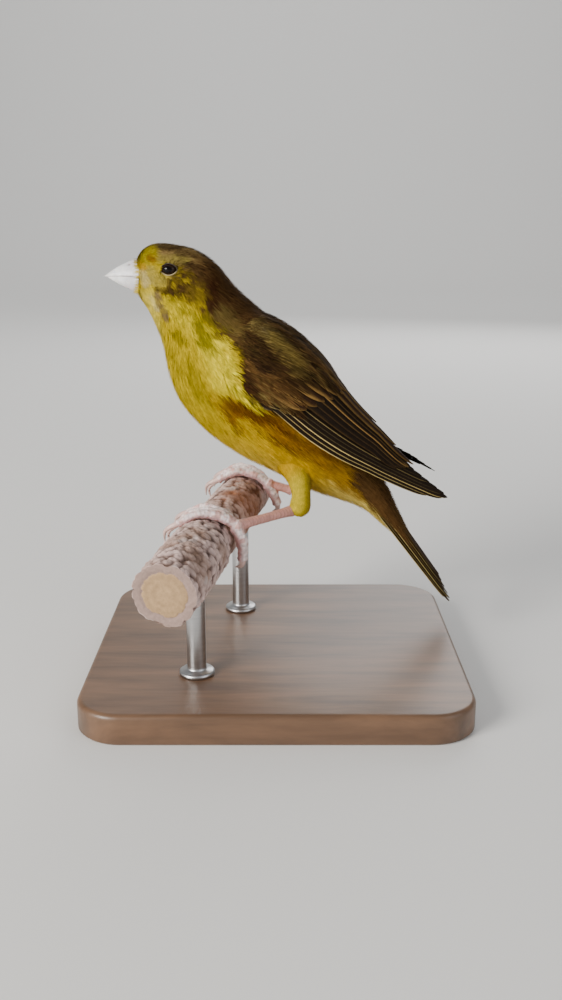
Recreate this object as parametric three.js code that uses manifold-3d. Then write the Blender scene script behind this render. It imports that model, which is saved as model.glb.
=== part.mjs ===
// A canary at rest on a cut length of crusted perch, with a plain display stand under the perch.
// Millimetres, +Z up. The origin is the middle of the base's underside. The bird faces -X, so its
// left side is towards -Y. Inside the bird's group the origin is the perch's axis between the feet.
import * as THREE from "three";
import { mergeVertices } from "three/addons/utils/BufferGeometryUtils.js";
import Module from "manifold-3d";

const wasm = await Module();
wasm.setup();

// Sizes shared by several parts
const GAP = 0.3;
const CUT_CLEARANCE = 0.32;
const PERCH_HEIGHT = 42;
const PERCH_AT = new THREE.Vector3(-13, 15, PERCH_HEIGHT);

// Side outline of the body from the bill's root to the tail's root, one row for each station:
// top x, top z, bottom x, bottom z, half width
const BODY = [
  [-25.1, 70.3, -25.7, 62.1, 3.9],
  [-22.9, 73.2, -23.7, 59.5, 6.1],
  [-19.6, 74.6, -21.4, 55.7, 7.4],
  [-14.6, 74.4, -19.4, 50.6, 8.2],
  [-8.6, 73.0, -18.2, 46.3, 8.8],
  [-3.2, 69.4, -17.4, 41.3, 9.9],
  [2.1, 63.0, -16.2, 36.4, 12.2],
  [9.6, 56.4, -12.6, 29.6, 14.4],
  [17.6, 49.6, -5.6, 22.3, 15.6],
  [25.0, 42.4, 3.2, 16.2, 15.8],
  [30.3, 34.4, 12.4, 11.6, 14.8],
  [35.4, 25.6, 21.8, 6.6, 12.0],
  [40.0, 16.8, 30.0, 3.6, 9.0],
  [44.4, 8.2, 37.0, 1.0, 6.6],
  [48.0, 0.6, 43.6, -4.4, 4.4],
  [50.4, -4.4, 47.8, -7.8, 2.8],
];
const BODY_SIDES = 24;
const STEPS_PER_STATION = 2;
const HEAD_END = 4.4;
const NECK_END = 6.4;
const TORSO_END = 11.4;

// Bill
const BILL_LENGTH = 8.1;
const BILL_HALF_WIDTH = 3.6;
const CULMEN_HEIGHT = 4.3;
const GONYS_HEIGHT = 3.9;
const BILL_ROOT = new THREE.Vector3(-25.75, 0, 66.0);
const BILL_ROOT_LEAN = 0.073;
const BILL_RISE = 0.05;

// Eye
const EYE_AT = [-15.55, 68.1];
const EYE_RADII = [2.1, 1.3, 1.5];
const LID_RADIUS = 0.36;

// Folded wing: its axis runs from the bend to the tip, a is the distance along it, and the angle phi
// goes round the body from the wing's lower edge (0) to the middle of the back (90).
const WING_BEND = new THREE.Vector3(-1.8, 0, 45.1);
const WING_SLOPE = 32.8;
const WING_ROW_START = -10;
const WING_ROW_STEP = 10;
// one row every 10 mm from a = -10: middle height b, reach to the side, reach to the back
const WING_ROWS = [
  [-2.5, 12.0, 17.2],
  [-3.0, 14.2, 17.6],
  [-3.5, 16.0, 17.4],
  [-3.8, 16.8, 16.8],
  [-4.5, 16.0, 14.6],
  [-4.6, 13.6, 11.8],
  [-3.8, 10.4, 8.8],
  [-2.4, 7.4, 5.6],
  [-0.8, 5.2, 3.0],
  [0.8, 4.0, 1.4],
];
const WING_LENGTH = 74;
// height of the right wing's feathers over the left one's, along the wing
const RIGHT_RAISE = [[28, 0], [44, -1.3], [54, -0.6], [60, 0.9], [66, 1.8], [74, 1.9]];
const RIGHT_WING_FOLD = 4.8;
const SKIN_TO_WING = 0.7;
const VANE_THICKNESS = 0.46;
const VANE_STEP = 0.5;
// feathered arm and hand: distance along the axis, lowest and highest angle, thickness
const ARM_ROWS = [
  [-1, 14, 52, 0.3],
  [2.5, -3, 68, 1.3],
  [9, -8, 76, 2.1],
  [15, -5, 76, 1.8],
  [21, 0, 74, 0.8],
];

// Tail
const TAIL_ROOT = new THREE.Vector3(33, 0, 17);
const TAIL_SLOPE = 53.9;
const TAIL_PAIRS = 6;
// how far each feather reaches from the tail's root, the middle pair first
const TAIL_ENDS = {
  left: [49.4, 50.2, 51.0, 51.4, 51.6, 51.2],
  right: [50.0, 51.0, 52.2, 53.4, 54.0, 53.4],
};

// Perch and legs
const PERCH_RADIUS = 7.2;
const PERCH_TURN = 12;
const PERCH_RISE = 3;
const PERCH_FRONT = -62;
const PERCH_BACK = 22;
const FOOT_PLACES = { left: -26.3, right: 11.5 };
const CRUST_STEP = 0.6;
const TARSUS_RADIUS = 1.3;
const TOE_RADIUS = 1.35;
const HEEL = new THREE.Vector3(17.2, 11.0, 2.9);

// Stand
const BASE_SIZE = [100, 92];
const BASE_THICKNESS = 8;
const BASE_CORNER = 12;
const BASE_CHAMFER = 1.2;
const ROD_RADIUS = 2.5;
const ROD_PLACES = [-38, 9];

const radians = THREE.MathUtils.degToRad;
const vector = (x, y, z) => new THREE.Vector3(x, y, z);
const mix = THREE.MathUtils.lerp;
const smoothStep = (x) => THREE.MathUtils.smoothstep(x, 0, 1);

// Values between the rows of a table, on a smooth curve through them
function sampleRows(rows, t) {
  const last = rows.length - 1;
  const i = THREE.MathUtils.clamp(Math.floor(t), 0, last - 1);
  const f = t - i;
  const row = (j) => rows[THREE.MathUtils.clamp(j, 0, last)];
  return rows[0].map((_, k) => {
    const [p0, p1, p2, p3] = [row(i - 1)[k], row(i)[k], row(i + 1)[k], row(i + 2)[k]];
    const cubic = 3 * (p1 - p2) + p3 - p0;
    const square = 2 * p0 - 5 * p1 + 4 * p2 - p3;
    return p1 + 0.5 * f * (p2 - p0 + f * (square + f * cubic));
  });
}

// Value on straight lines through [place, value] pairs
function ramp(pairs, x) {
  for (let i = 1; i < pairs.length; i += 1) {
    const [x0, y0] = pairs[i - 1];
    const [x1, y1] = pairs[i];
    if (x <= x1) return mix(y0, y1, THREE.MathUtils.clamp((x - x0) / (x1 - x0), 0, 1));
  }
  return pairs[pairs.length - 1][1];
}

// A closed solid from vertices and triangles, turned the right way out
function solidFrom(points, triangles) {
  const build = (faces) =>
    new wasm.Manifold(
      new wasm.Mesh({
        numProp: 3,
        vertProperties: new Float32Array(points.flatMap((p) => [p.x, p.y, p.z])),
        triVerts: new Uint32Array(faces.flat()),
      }),
    );
  const made = build(triangles);
  return made.volume() < 0 ? build(triangles.map(([a, b, c]) => [a, c, b])) : made;
}

// A closed solid through rings of equal count, with a point in the middle of each end
function loft(rings) {
  const sides = rings[0].length;
  const points = rings.flat();
  const triangles = [];
  for (let r = 0; r + 1 < rings.length; r += 1) {
    for (let k = 0; k < sides; k += 1) {
      const a = r * sides + k;
      const b = r * sides + ((k + 1) % sides);
      triangles.push([a, b, b + sides], [a, b + sides, a + sides]);
    }
  }
  [0, rings.length - 1].forEach((r) => {
    const middle = rings[r].reduce((sum, p) => sum.add(p), vector(0, 0, 0)).divideScalar(sides);
    points.push(middle);
    for (let k = 0; k < sides; k += 1) {
      const a = r * sides + k;
      const b = r * sides + ((k + 1) % sides);
      triangles.push(r === 0 ? [points.length - 1, b, a] : [points.length - 1, a, b]);
    }
  });
  return solidFrom(points, triangles);
}

// A closed vane through rings of four corners: low top, high top, high bottom, low bottom.
// Its two faces are split alike, so that a curved one stays clear of itself.
function vaneLoft(rings) {
  const points = rings.flat();
  const end = points.length - 4;
  const triangles = [[0, 2, 1], [0, 3, 2], [end, end + 1, end + 2], [end, end + 2, end + 3]];
  for (let r = 0; r < end; r += 4) {
    const [a, b, c, d] = [r, r + 1, r + 2, r + 3];
    triangles.push([a, b, b + 4], [a, b + 4, a + 4], [b, c, c + 4], [b, c + 4, b + 4]);
    triangles.push([c, d, c + 4], [d, d + 4, c + 4], [d, a, a + 4], [d, a + 4, d + 4]);
  }
  return solidFrom(points, triangles);
}

// A round bar along a line of points, with its radius given for each share of the way
function bar(path, radiusAt, sides, steps = path.length + 1) {
  const curve = new THREE.CatmullRomCurve3(path, false, "centripetal");
  const frames = curve.computeFrenetFrames(steps, false);
  const rings = [];
  for (let i = 0; i <= steps; i += 1) {
    const share = i / steps;
    const middle = curve.getPointAt(share);
    const r = radiusAt(share);
    const ring = [];
    for (let k = 0; k < sides; k += 1) {
      const angle = (2 * Math.PI * k) / sides;
      const across = frames.normals[i].clone().multiplyScalar(r * Math.cos(angle));
      const over = frames.binormals[i].clone().multiplyScalar(r * Math.sin(angle));
      ring.push(middle.clone().add(across).add(over));
    }
    rings.push(ring);
  }
  return loft(rings);
}

// A ball with its own radii and turn
function ball(centre, radii, detail = 12, turn = new THREE.Euler()) {
  const geometry = new THREE.SphereGeometry(1, detail, Math.round(detail * 0.6));
  geometry.scale(...radii).rotateX(turn.x).rotateY(turn.y).rotateZ(turn.z);
  geometry.translate(centre.x, centre.y, centre.z);
  return fromGeometry(geometry);
}

function fromGeometry(geometry) {
  const bare = geometry.clone();
  bare.deleteAttribute("normal");
  bare.deleteAttribute("uv");
  const merged = mergeVertices(bare, 1e-4);
  const place = merged.getAttribute("position");
  const points = [];
  for (let i = 0; i < place.count; i += 1) points.push(vector(place.getX(i), place.getY(i), place.getZ(i)));
  const index = Array.from(merged.index.array);
  const triangles = [];
  for (let i = 0; i < index.length; i += 3) {
    const [a, b, c] = index.slice(i, i + 3);
    if (a !== b && b !== c && a !== c) triangles.push([a, b, c]);
  }
  return solidFrom(points, triangles);
}

const join = (solids) => wasm.Manifold.union(solids);

// The largest closed surface of a solid, with hollows that joining sealed filled in
function largest(solid) {
  const pieces = solid.decompose();
  return pieces.reduce((best, piece) => (piece.volume() > best.volume() ? piece : best));
}

// Body: rings across the stations, grown outwards by a margin where one is given
function bodyRing(t, grow = 0) {
  const [topX, topZ, bottomX, bottomZ, half] = sampleRows(BODY, t);
  const middle = vector((topX + bottomX) / 2, 0, (topZ + bottomZ) / 2);
  const up = vector((topX - bottomX) / 2, 0, (topZ - bottomZ) / 2);
  const reach = up.length();
  const ring = [];
  for (let k = 0; k < BODY_SIDES; k += 1) {
    const angle = (2 * Math.PI * k) / BODY_SIDES;
    const lift = up.clone().multiplyScalar(((reach + grow) / reach) * Math.sin(angle));
    ring.push(middle.clone().add(lift).add(vector(0, (half + grow) * Math.cos(angle), 0)));
  }
  return ring;
}

function bodySolid(grow = 0) {
  const rings = [];
  const count = (BODY.length - 1) * STEPS_PER_STATION;
  for (let i = 0; i <= count; i += 1) rings.push(bodyRing(((BODY.length - 1) * i) / count, grow));
  return loft(rings);
}

// The plane across the body at a station, as a normal that points to the tail and its offset
function stationPlane(t) {
  const [topX, topZ, bottomX, bottomZ] = sampleRows(BODY, t);
  const up = vector(topX - bottomX, 0, topZ - bottomZ).normalize();
  const normal = vector(up.z, 0, -up.x);
  return { normal, offset: normal.dot(vector(topX, 0, topZ)) };
}

// What lies between two stations; leaving one out keeps everything on that side
function between(solid, front, back) {
  let kept = solid;
  if (front !== undefined) {
    const { normal, offset } = stationPlane(front);
    kept = kept.trimByPlane(normal.toArray(), offset + GAP / 2);
  }
  if (back !== undefined) {
    const { normal, offset } = stationPlane(back);
    kept = kept.trimByPlane(normal.clone().negate().toArray(), -offset + GAP / 2);
  }
  return kept;
}

// Half-width of the body's skin at a place in the side view
function bodySideAt(x, z) {
  let best = { distance: Infinity };
  for (let t = 0; t <= BODY.length - 1; t += 0.05) {
    const { normal, offset } = stationPlane(t);
    const distance = Math.abs(normal.dot(vector(x, 0, z)) - offset);
    const [topX, topZ, bottomX, bottomZ, half] = sampleRows(BODY, t);
    const up = vector((topX - bottomX) / 2, 0, (topZ - bottomZ) / 2);
    const share = vector(x - (topX + bottomX) / 2, 0, z - (topZ + bottomZ) / 2).dot(up) / up.lengthSq();
    if (Math.abs(share) < 1 && distance < best.distance) {
      best = { distance, side: half * Math.sqrt(1 - share * share) };
    }
  }
  return best.side;
}

// Eye and lids, for the left side (side -1) or the right (side 1)
function eyeFrame(side) {
  const [x, z] = EYE_AT;
  const skin = bodySideAt(x, z);
  const lookForward = radians(12) * side;
  const centre = vector(x, side * (skin - 0.75), z);
  const rim = vector(x, side * (skin + 0.1), z);
  return { centre, rim, lookForward };
}

function eye(side, grow = 0) {
  const { centre, lookForward } = eyeFrame(side);
  const radii = EYE_RADII.map((r, i) => r + grow + (i === 1 ? 0.35 : 0));
  return ball(centre, radii, 15, new THREE.Euler(0, 0, lookForward));
}

function lids(side) {
  const { rim, lookForward } = eyeFrame(side);
  const clear = GAP + LID_RADIUS * 0.9;
  const steps = 18;
  const sides = 5;
  const points = [];
  const triangles = [];
  for (let i = 0; i < steps; i += 1) {
    const turn = (2 * Math.PI * i) / steps;
    for (let k = 0; k < sides; k += 1) {
      const angle = (2 * Math.PI * k) / sides;
      const out = LID_RADIUS * Math.cos(angle);
      const along = (EYE_RADII[0] + clear + out) * Math.cos(turn);
      const over = (EYE_RADII[2] + clear + out) * Math.sin(turn);
      const deep = LID_RADIUS * 1.5 * Math.sin(angle) - 0.3;
      const local = vector(along, side * deep, over);
      local.applyAxisAngle(vector(0, 0, 1), lookForward);
      points.push(local.add(rim));
      const next = ((i + 1) % steps) * sides;
      const here = i * sides;
      const kk = (k + 1) % sides;
      triangles.push([here + k, next + k, next + kk], [here + k, next + kk, here + kk]);
    }
  }
  return solidFrom(points, triangles);
}

// Bill: half-round sections from root to tip; sense is 1 for the upper mandible, -1 for the lower
function mandible(sense) {
  const height = sense > 0 ? CULMEN_HEIGHT : GONYS_HEIGHT;
  const reach = sense > 0 ? BILL_LENGTH : BILL_LENGTH - 0.7;
  const steps = 8;
  const arcSteps = 10;
  const rings = [];
  for (let i = 0; i <= steps; i += 1) {
    const share = i / steps;
    const fullness = Math.pow(1 - share, 0.86) * (1 + 0.12 * share);
    const tip = 0.035;
    const tall = Math.max(height * fullness, height * tip);
    const wide = Math.max(BILL_HALF_WIDTH * Math.pow(1 - share, 0.8), BILL_HALF_WIDTH * tip);
    const edgeDrop = sense > 0 ? 0.5 * share * share : 0.35 * share * share;
    const middleZ = -edgeDrop + sense * (GAP / 2) + reach * share * BILL_RISE;
    const ring = [];
    for (let k = 0; k <= arcSteps; k += 1) {
      const angle = (Math.PI * k) / arcSteps;
      const z = middleZ + sense * tall * Math.sin(angle);
      ring.push(vector(-reach * share + BILL_ROOT_LEAN * z, wide * Math.cos(angle), z));
    }
    rings.push(ring.map((p) => p.add(BILL_ROOT)));
  }
  return loft(rings);
}

function nostril(side) {
  const at = BILL_ROOT.clone().add(vector(-0.9, side * 2.2, 2.9));
  return ball(at, [0.55, 0.5, 0.35], 8);
}

// Wing: a point of the folded wing's surface, lifted outwards
const wingAxis = vector(Math.cos(radians(WING_SLOPE)), 0, -Math.sin(radians(WING_SLOPE)));
const wingUp = vector(Math.sin(radians(WING_SLOPE)), 0, Math.cos(radians(WING_SLOPE)));

const skinRay = new THREE.Raycaster();
let skinMesh;

function skinReach(origin, direction) {
  skinRay.set(origin, direction);
  const hits = skinRay.intersectObject(skinMesh, false);
  return hits.length ? hits[hits.length - 1].distance : 0;
}

function wingPoint(side, along, phi, lift) {
  const share = side > 0 ? Math.pow(Math.max(0, along) / WING_LENGTH, 2) : 0;
  const raise = side > 0 ? ramp(RIGHT_RAISE, along) : 0;
  const a = along - RIGHT_WING_FOLD * share;
  const [b, reachOut, reachUp] = sampleRows(WING_ROWS, (a - WING_ROW_START) / WING_ROW_STEP);
  const middle = WING_BEND.clone().addScaledVector(wingAxis, a).addScaledVector(wingUp, b);
  const angle = radians(phi);
  const direction = vector(0, side * Math.cos(angle), 0).addScaledVector(wingUp, Math.sin(angle));
  const own = 1 / Math.hypot(Math.cos(angle) / reachOut, Math.sin(angle) / reachUp);
  const skin = skinReach(middle, direction) + SKIN_TO_WING;
  const soft = 0.8;
  const hug = 0.5 * (own + skin + Math.sqrt((own - skin) ** 2 + soft ** 2));
  return middle.addScaledVector(direction, hug + lift).addScaledVector(wingUp, raise);
}

// Vane outlines: places along the vane and the share of its full width there
const LONG_VANE = { places: [0, 0.4, 0.76, 0.94, 1], widths: [0.6, 1, 1, 0.62, 0.15] };
const STRAIGHT_VANE = { places: [0, 0.72, 0.94, 1], widths: [0.7, 1, 0.7, 0.2] };
const SHORT_VANE = { places: [0, 0.5, 0.88, 1], widths: [0.7, 1, 0.85, 0.35] };

// One vane of a tier. Places across the tier are counted in vanes, so a vane's lower edge stands
// proud, its upper edge dips, and it clears the next one all along by a fixed step.
function wingVane(side, tier, i) {
  const { start, ends, low, pitch, lift, overlap, form } = tier;
  const rings = form.places.map((place, ring) => {
    const a = mix(start, ends[i], place);
    const half = (overlap / 2) * form.widths[ring];
    const thick = VANE_THICKNESS * (place === 1 ? 0.5 : 1);
    const corner = (offset, over) => {
      const phi = ramp(low, a) + (i + offset) * ramp(pitch, a);
      return wingPoint(side, a, phi, ramp(lift, a) - VANE_STEP * offset + (over * thick) / 2);
    };
    return [corner(-half, 1), corner(half, 1), corner(half, -1), corner(-half, -1)];
  });
  return vaneLoft(rings);
}

// A curved shell over the body; each row gives the distance along the wing's axis, the lowest and
// highest angle, and the greatest thickness there
function wingShell(side, shellRows, rows, columns) {
  const outer = [];
  const inner = [];
  for (let i = 0; i <= rows; i += 1) {
    const [a, low, high, thick] = sampleRows(shellRows, ((shellRows.length - 1) * i) / rows);
    for (let j = 0; j <= columns; j += 1) {
      const share = j / columns;
      const phi = mix(low, high, share);
      const arch = Math.pow(Math.sin(Math.PI * mix(0.06, 0.94, share)), 0.5);
      outer.push(wingPoint(side, a, phi, 0.1 + thick * arch));
      inner.push(wingPoint(side, a, phi, -0.35));
    }
  }
  const points = [...outer, ...inner];
  const at = (i, j, layer) => layer * outer.length + i * (columns + 1) + j;
  const triangles = [];
  for (let i = 0; i < rows; i += 1) {
    for (let j = 0; j < columns; j += 1) {
      const corners = [[i, j], [i + 1, j], [i + 1, j + 1], [i, j + 1]];
      const [a, b, c, d] = corners.map(([row, column]) => at(row, column, 0));
      const [e, f, g, h] = corners.map(([row, column]) => at(row, column, 1));
      triangles.push([a, b, c], [a, c, d], [e, g, f], [e, h, g]);
    }
  }
  const rim = [];
  for (let i = 0; i < rows; i += 1) rim.push([i, 0]);
  for (let j = 0; j < columns; j += 1) rim.push([rows, j]);
  for (let i = rows; i > 0; i -= 1) rim.push([i, columns]);
  for (let j = columns; j > 0; j -= 1) rim.push([0, j]);
  rim.forEach(([i, j], n) => {
    const [i2, j2] = rim[(n + 1) % rim.length];
    const [a, b, c, d] = [at(i, j, 0), at(i2, j2, 0), at(i2, j2, 1), at(i, j, 1)];
    triangles.push([a, c, b], [a, d, c]);
  });
  return solidFrom(points, triangles);
}

// Tiers of the folded wing, each from its lowest vane up. Along the wing's axis, low is the angle of
// the first vane, pitch the angle between vanes, and lift the height over the body's feathers.
const PRIMARIES = {
  start: 13, ends: [69.5, 73.2, 74.6, 73.2, 70.6, 67.8, 65, 62],
  low: [[14, 4], [50, 0], [74, -13]], pitch: [[14, 3.2], [50, 4.6], [74, 8]],
  lift: [[13, 0.35], [40, 0.55], [74, 0.75]], overlap: 1.9, form: LONG_VANE,
};
const SECONDARIES = {
  start: 14, ends: [57, 58.4, 59.4, 60, 60.2, 59.6],
  low: [[14, 27], [48, 28], [60, 17]], pitch: [[14, 6], [48, 6], [60, 5.4]],
  lift: [[14, 0.7], [26, 1.35], [54, 1.35]], overlap: 1.7, form: LONG_VANE,
};
const TERTIALS = {
  start: 15, ends: [61, 54, 46],
  low: [[15, 60], [48, 59], [60, 46]], pitch: [[15, 9]],
  lift: [[15, 0.8], [26, 1.6], [54, 1.7]], overlap: 1.5, form: LONG_VANE,
};
const GREATER_COVERTS = {
  start: 10, ends: [27, 28.4, 29.8, 31, 32, 32.8, 33.4],
  low: [[10, 17], [30, 19]], pitch: [[10, 8.2]],
  lift: [[10, 0.9], [18, 1.95], [34, 2.35]], overlap: 1.5, form: SHORT_VANE,
};
const PRIMARY_COVERTS = {
  start: 9, ends: [24, 25, 26, 27],
  low: [[9, 1]], pitch: [[9, 4.2]],
  lift: [[9, 0.7], [26, 1.6]], overlap: 1.6, form: SHORT_VANE,
};
const MEDIAN_COVERTS = {
  start: 4, ends: [17, 18.2, 19.4, 20.4, 21.2, 21.8],
  low: [[4, 13]], pitch: [[4, 10.4]],
  lift: [[4, 1.0], [12, 2.35], [22, 2.85]], overlap: 1.5, form: SHORT_VANE,
};
const ALULA = {
  start: 5, ends: [17, 19.5],
  low: [[5, 0]], pitch: [[5, 5]],
  lift: [[5, 0.9], [18, 2.3]], overlap: 1.5, form: SHORT_VANE,
};
const WING_TIERS = [
  PRIMARIES, SECONDARIES, TERTIALS, GREATER_COVERTS, PRIMARY_COVERTS, MEDIAN_COVERTS, ALULA,
];

// The right wing is closed tighter: its primaries lie closer together towards a slender tip
const RIGHT_TIERS = WING_TIERS.map((tier) => {
  if (tier === PRIMARIES) {
    const low = [[14, 4], [50, 8], [60, 18], [74, 26]];
    return { ...tier, low, pitch: [[14, 3.2], [50, 3.6], [60, 3.2], [74, 3]] };
  }
  const cut = tier === SECONDARIES || tier === TERTIALS ? 4 : 0;
  return { ...tier, ends: tier.ends.map((end) => end - cut) };
});

function wingVanes(side) {
  const tiers = side < 0 ? WING_TIERS : RIGHT_TIERS;
  return tiers.flatMap((tier) => tier.ends.map((_, i) => wingVane(side, tier, i)));
}

function wing(side, bodyGrown) {
  const arm = wingShell(side, ARM_ROWS, 8, 6);
  return largest(join([arm, ...wingVanes(side)]).subtract(bodyGrown));
}

// Tail: feathers in pairs under one another, the middle pair on top
const tailAxis = vector(Math.cos(radians(TAIL_SLOPE)), 0, -Math.sin(radians(TAIL_SLOPE)));
const tailUp = vector(Math.sin(radians(TAIL_SLOPE)), 0, Math.cos(radians(TAIL_SLOPE)));

function tailVane(side, { from, to, inner, tipInner, high, tipHigh, width, roll, form }) {
  const [flat, steep] = [Math.cos(radians(roll)), Math.sin(radians(roll))];
  const across = vector(0, side * flat, 0).addScaledVector(tailUp, -steep);
  const over = vector(0, side * steep, 0).addScaledVector(tailUp, flat);
  const rings = form.places.map((place, ring) => {
    const wide = width * form.widths[ring];
    const inset = mix(inner, tipInner, place) + (width - wide) * 0.4;
    const edge = TAIL_ROOT.clone()
      .addScaledVector(tailAxis, mix(from, to, place))
      .addScaledVector(tailUp, mix(high, tipHigh, place))
      .add(vector(0, side * inset, 0));
    const thick = VANE_THICKNESS * (place === 1 ? 0.5 : 1);
    const corner = (u, v) =>
      edge.clone().addScaledVector(across, u * wide).addScaledVector(over, (v * thick) / 2);
    return [corner(0, 1), corner(1, 1), corner(1, -1), corner(0, -1)];
  });
  return vaneLoft(rings);
}

function tailVanes() {
  const vanes = [];
  [-1, 1].forEach((side) => {
    const ends = side < 0 ? TAIL_ENDS.left : TAIL_ENDS.right;
    for (let i = 0; i < TAIL_PAIRS; i += 1) {
      vanes.push(tailVane(side, {
        from: 6, to: ends[i], inner: 0.04 + 0.2 * i, tipInner: 0.05 + 0.42 * i,
        high: 0.8 - VANE_STEP * i, tipHigh: 0.45 - 0.16 * i, width: 4.3, roll: 6,
        form: STRAIGHT_VANE,
      }));
    }
    for (let i = 0; i < 2; i += 1) {
      const level = 0.9 * i;
      vanes.push(tailVane(side, {
        from: 7 + 2 * i, to: 34 - 5 * i, inner: 0.05 + 1.8 * i, tipInner: 0.05 + 1.6 * i,
        high: 2.9 - level, tipHigh: 1.5 - 0.15 * i, width: 4, roll: 12 + 12 * i, form: SHORT_VANE,
      }));
      vanes.push(tailVane(side, {
        from: 8 + 2 * i, to: 29 - 5 * i, inner: 0.05 + 1.8 * i, tipInner: 0.05 + 1.6 * i,
        high: -4.1 + level, tipHigh: -3.2 + 0.5 * i, width: 4, roll: -12 - 12 * i, form: SHORT_VANE,
      }));
    }
  });
  return vanes;
}

const tail = (body) => largest(join([between(body, TORSO_END), ...tailVanes()]));

// Perch: its axis, and a point round it. Theta is 0 on top and grows over the bird's front.
const perchAxis = vector(
  Math.sin(radians(PERCH_TURN)) * Math.cos(radians(PERCH_RISE)),
  Math.cos(radians(PERCH_TURN)) * Math.cos(radians(PERCH_RISE)),
  Math.sin(radians(PERCH_RISE)),
);
const perchFront = vector(-Math.cos(radians(PERCH_TURN)), Math.sin(radians(PERCH_TURN)), 0);
const perchUp = perchFront.clone().cross(perchAxis).negate();
if (perchUp.z < 0) perchUp.negate();

function perchPoint(along, theta, radius) {
  return perchAxis.clone().multiplyScalar(along)
    .addScaledVector(perchFront, radius * Math.sin(radians(theta)))
    .addScaledVector(perchUp, radius * Math.cos(radians(theta)));
}

// Crust: low lumps, thicker in front of the left foot and thinner behind it, where it is worn
function perchRadius(along, theta, grow = 0) {
  const angle = radians(theta);
  const lumps = 0.5 * Math.sin(3 * angle + along * 0.55) + 0.5 * Math.sin(5 * angle - along * 0.83 + 1.3);
  const worn = smoothStep((along + 33) / 4);
  const swell = CRUST_STEP * (1 - worn) - 0.2 * worn;
  return PERCH_RADIUS + swell + 0.16 * lumps * (1 - 0.5 * worn) + grow;
}

function perchSolid(grow = 0) {
  const sides = 20;
  const steps = 18;
  const round = 5;
  const rings = [];
  for (let i = 0; i <= steps; i += 1) {
    const along = mix(PERCH_FRONT - grow, PERCH_BACK + grow, i / steps);
    const toBack = PERCH_BACK + grow - along;
    const dome = toBack < round ? Math.sqrt(Math.max(0.12, 1 - Math.pow(1 - toBack / round, 2))) : 1;
    const ring = [];
    for (let k = 0; k < sides; k += 1) {
      const theta = (360 * k) / sides;
      ring.push(perchPoint(along, theta, perchRadius(along, theta, grow) * dome));
    }
    rings.push(ring);
  }
  return loft(rings);
}

// Leg: the feathered thigh, then the bare tarsus with four toes round the perch
function thigh(side, grow = 0) {
  const path = [
    vector(16.4, side * 6.8, 18.0),
    vector(19.0, side * 9.7, 12.0),
    vector(19.7, side * 11.1, 6.6),
    vector(18.8, side * 11.1, 1.7),
  ];
  const radii = [[0, 5.0], [0.35, 3.9], [0.6, 3.15], [0.88, 2.8], [0.95, 2.4], [1, 1.3]];
  return bar(path, (s) => ramp(radii, s) + grow, 12);
}

const footPlace = (side) => (side < 0 ? FOOT_PLACES.left : FOOT_PLACES.right);

function clawedToe(side, { spread, ends, claw, reach, size }) {
  const at = (share, [theta, radius]) => perchPoint(footPlace(side) + spread * share, theta, radius);
  const path = ends.map((end, i) => at(i / (ends.length - 1), end));
  const knuckles = (s) => size * TOE_RADIUS * (1 - 0.22 * s) * (1 + 0.09 * Math.cos(s * 6 * Math.PI));
  const toe = bar(path, knuckles, 7);
  const root = path[path.length - 2].clone().lerp(path[path.length - 1], 0.75);
  const nail = bar([root, ...claw.map((end) => at(reach, end))], (s) => mix(0.78, 0.16, s), 5);
  return [toe, nail];
}

function foot(side, thighGrown, perchGrown) {
  const rest = PERCH_RADIUS + 0.25 + TOE_RADIUS;
  const knot = perchPoint(footPlace(side), -59, rest + 0.9);
  const heel = HEEL.clone().setY(side * HEEL.y);
  const tarsusPath = [heel, heel.clone().lerp(knot, 0.33), heel.clone().lerp(knot, 0.7), knot];
  const waves = (s) => 1 + 0.3 * Math.pow(2 * s - 1, 4) + 0.05 * Math.cos(s * 9 * Math.PI);
  const tarsus = bar(tarsusPath, (s) => TARSUS_RADIUS * waves(s), 8, 9);
  const front = (theta) => [
    [-57, rest + 0.7], [-36, rest + 0.3], [-8, rest], [theta - 32, rest], [theta, rest + 0.1],
  ];
  const nail = (theta) => [[theta + 10, rest + 1.1], [theta + 22, rest + 1.9], [theta + 37, rest + 1.3]];
  const curl = side < 0 ? 0 : 13;
  const toes = [
    { spread: side * 0.8, ends: front(58), claw: nail(58), reach: 1.05, size: 1 },
    { spread: side * 4.8, ends: front(46), claw: nail(46), reach: 1.1, size: 1 },
    { spread: -side * 3.8, ends: front(44), claw: nail(44), reach: 1.1, size: 1 },
    {
      spread: side * 1.2,
      ends: [[-60, rest + 0.6], [-82 + curl * 0.4, rest + 0.9], [-98 + curl * 0.7, rest + 1.4],
        [-113 + curl, rest + 2.1]],
      claw: [[-121 + curl, rest + 2.8], [-129 + curl, rest + 3.0], [-137 + curl, rest + 2.1]],
      reach: 1.0,
      size: 1.25,
    },
  ];
  const pieces = [ball(knot, [1.8, 1.8, 1.8], 10), tarsus, ...toes.flatMap((toe) => clawedToe(side, toe))];
  return largest(join(pieces).subtract(thighGrown).subtract(perchGrown));
}

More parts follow.
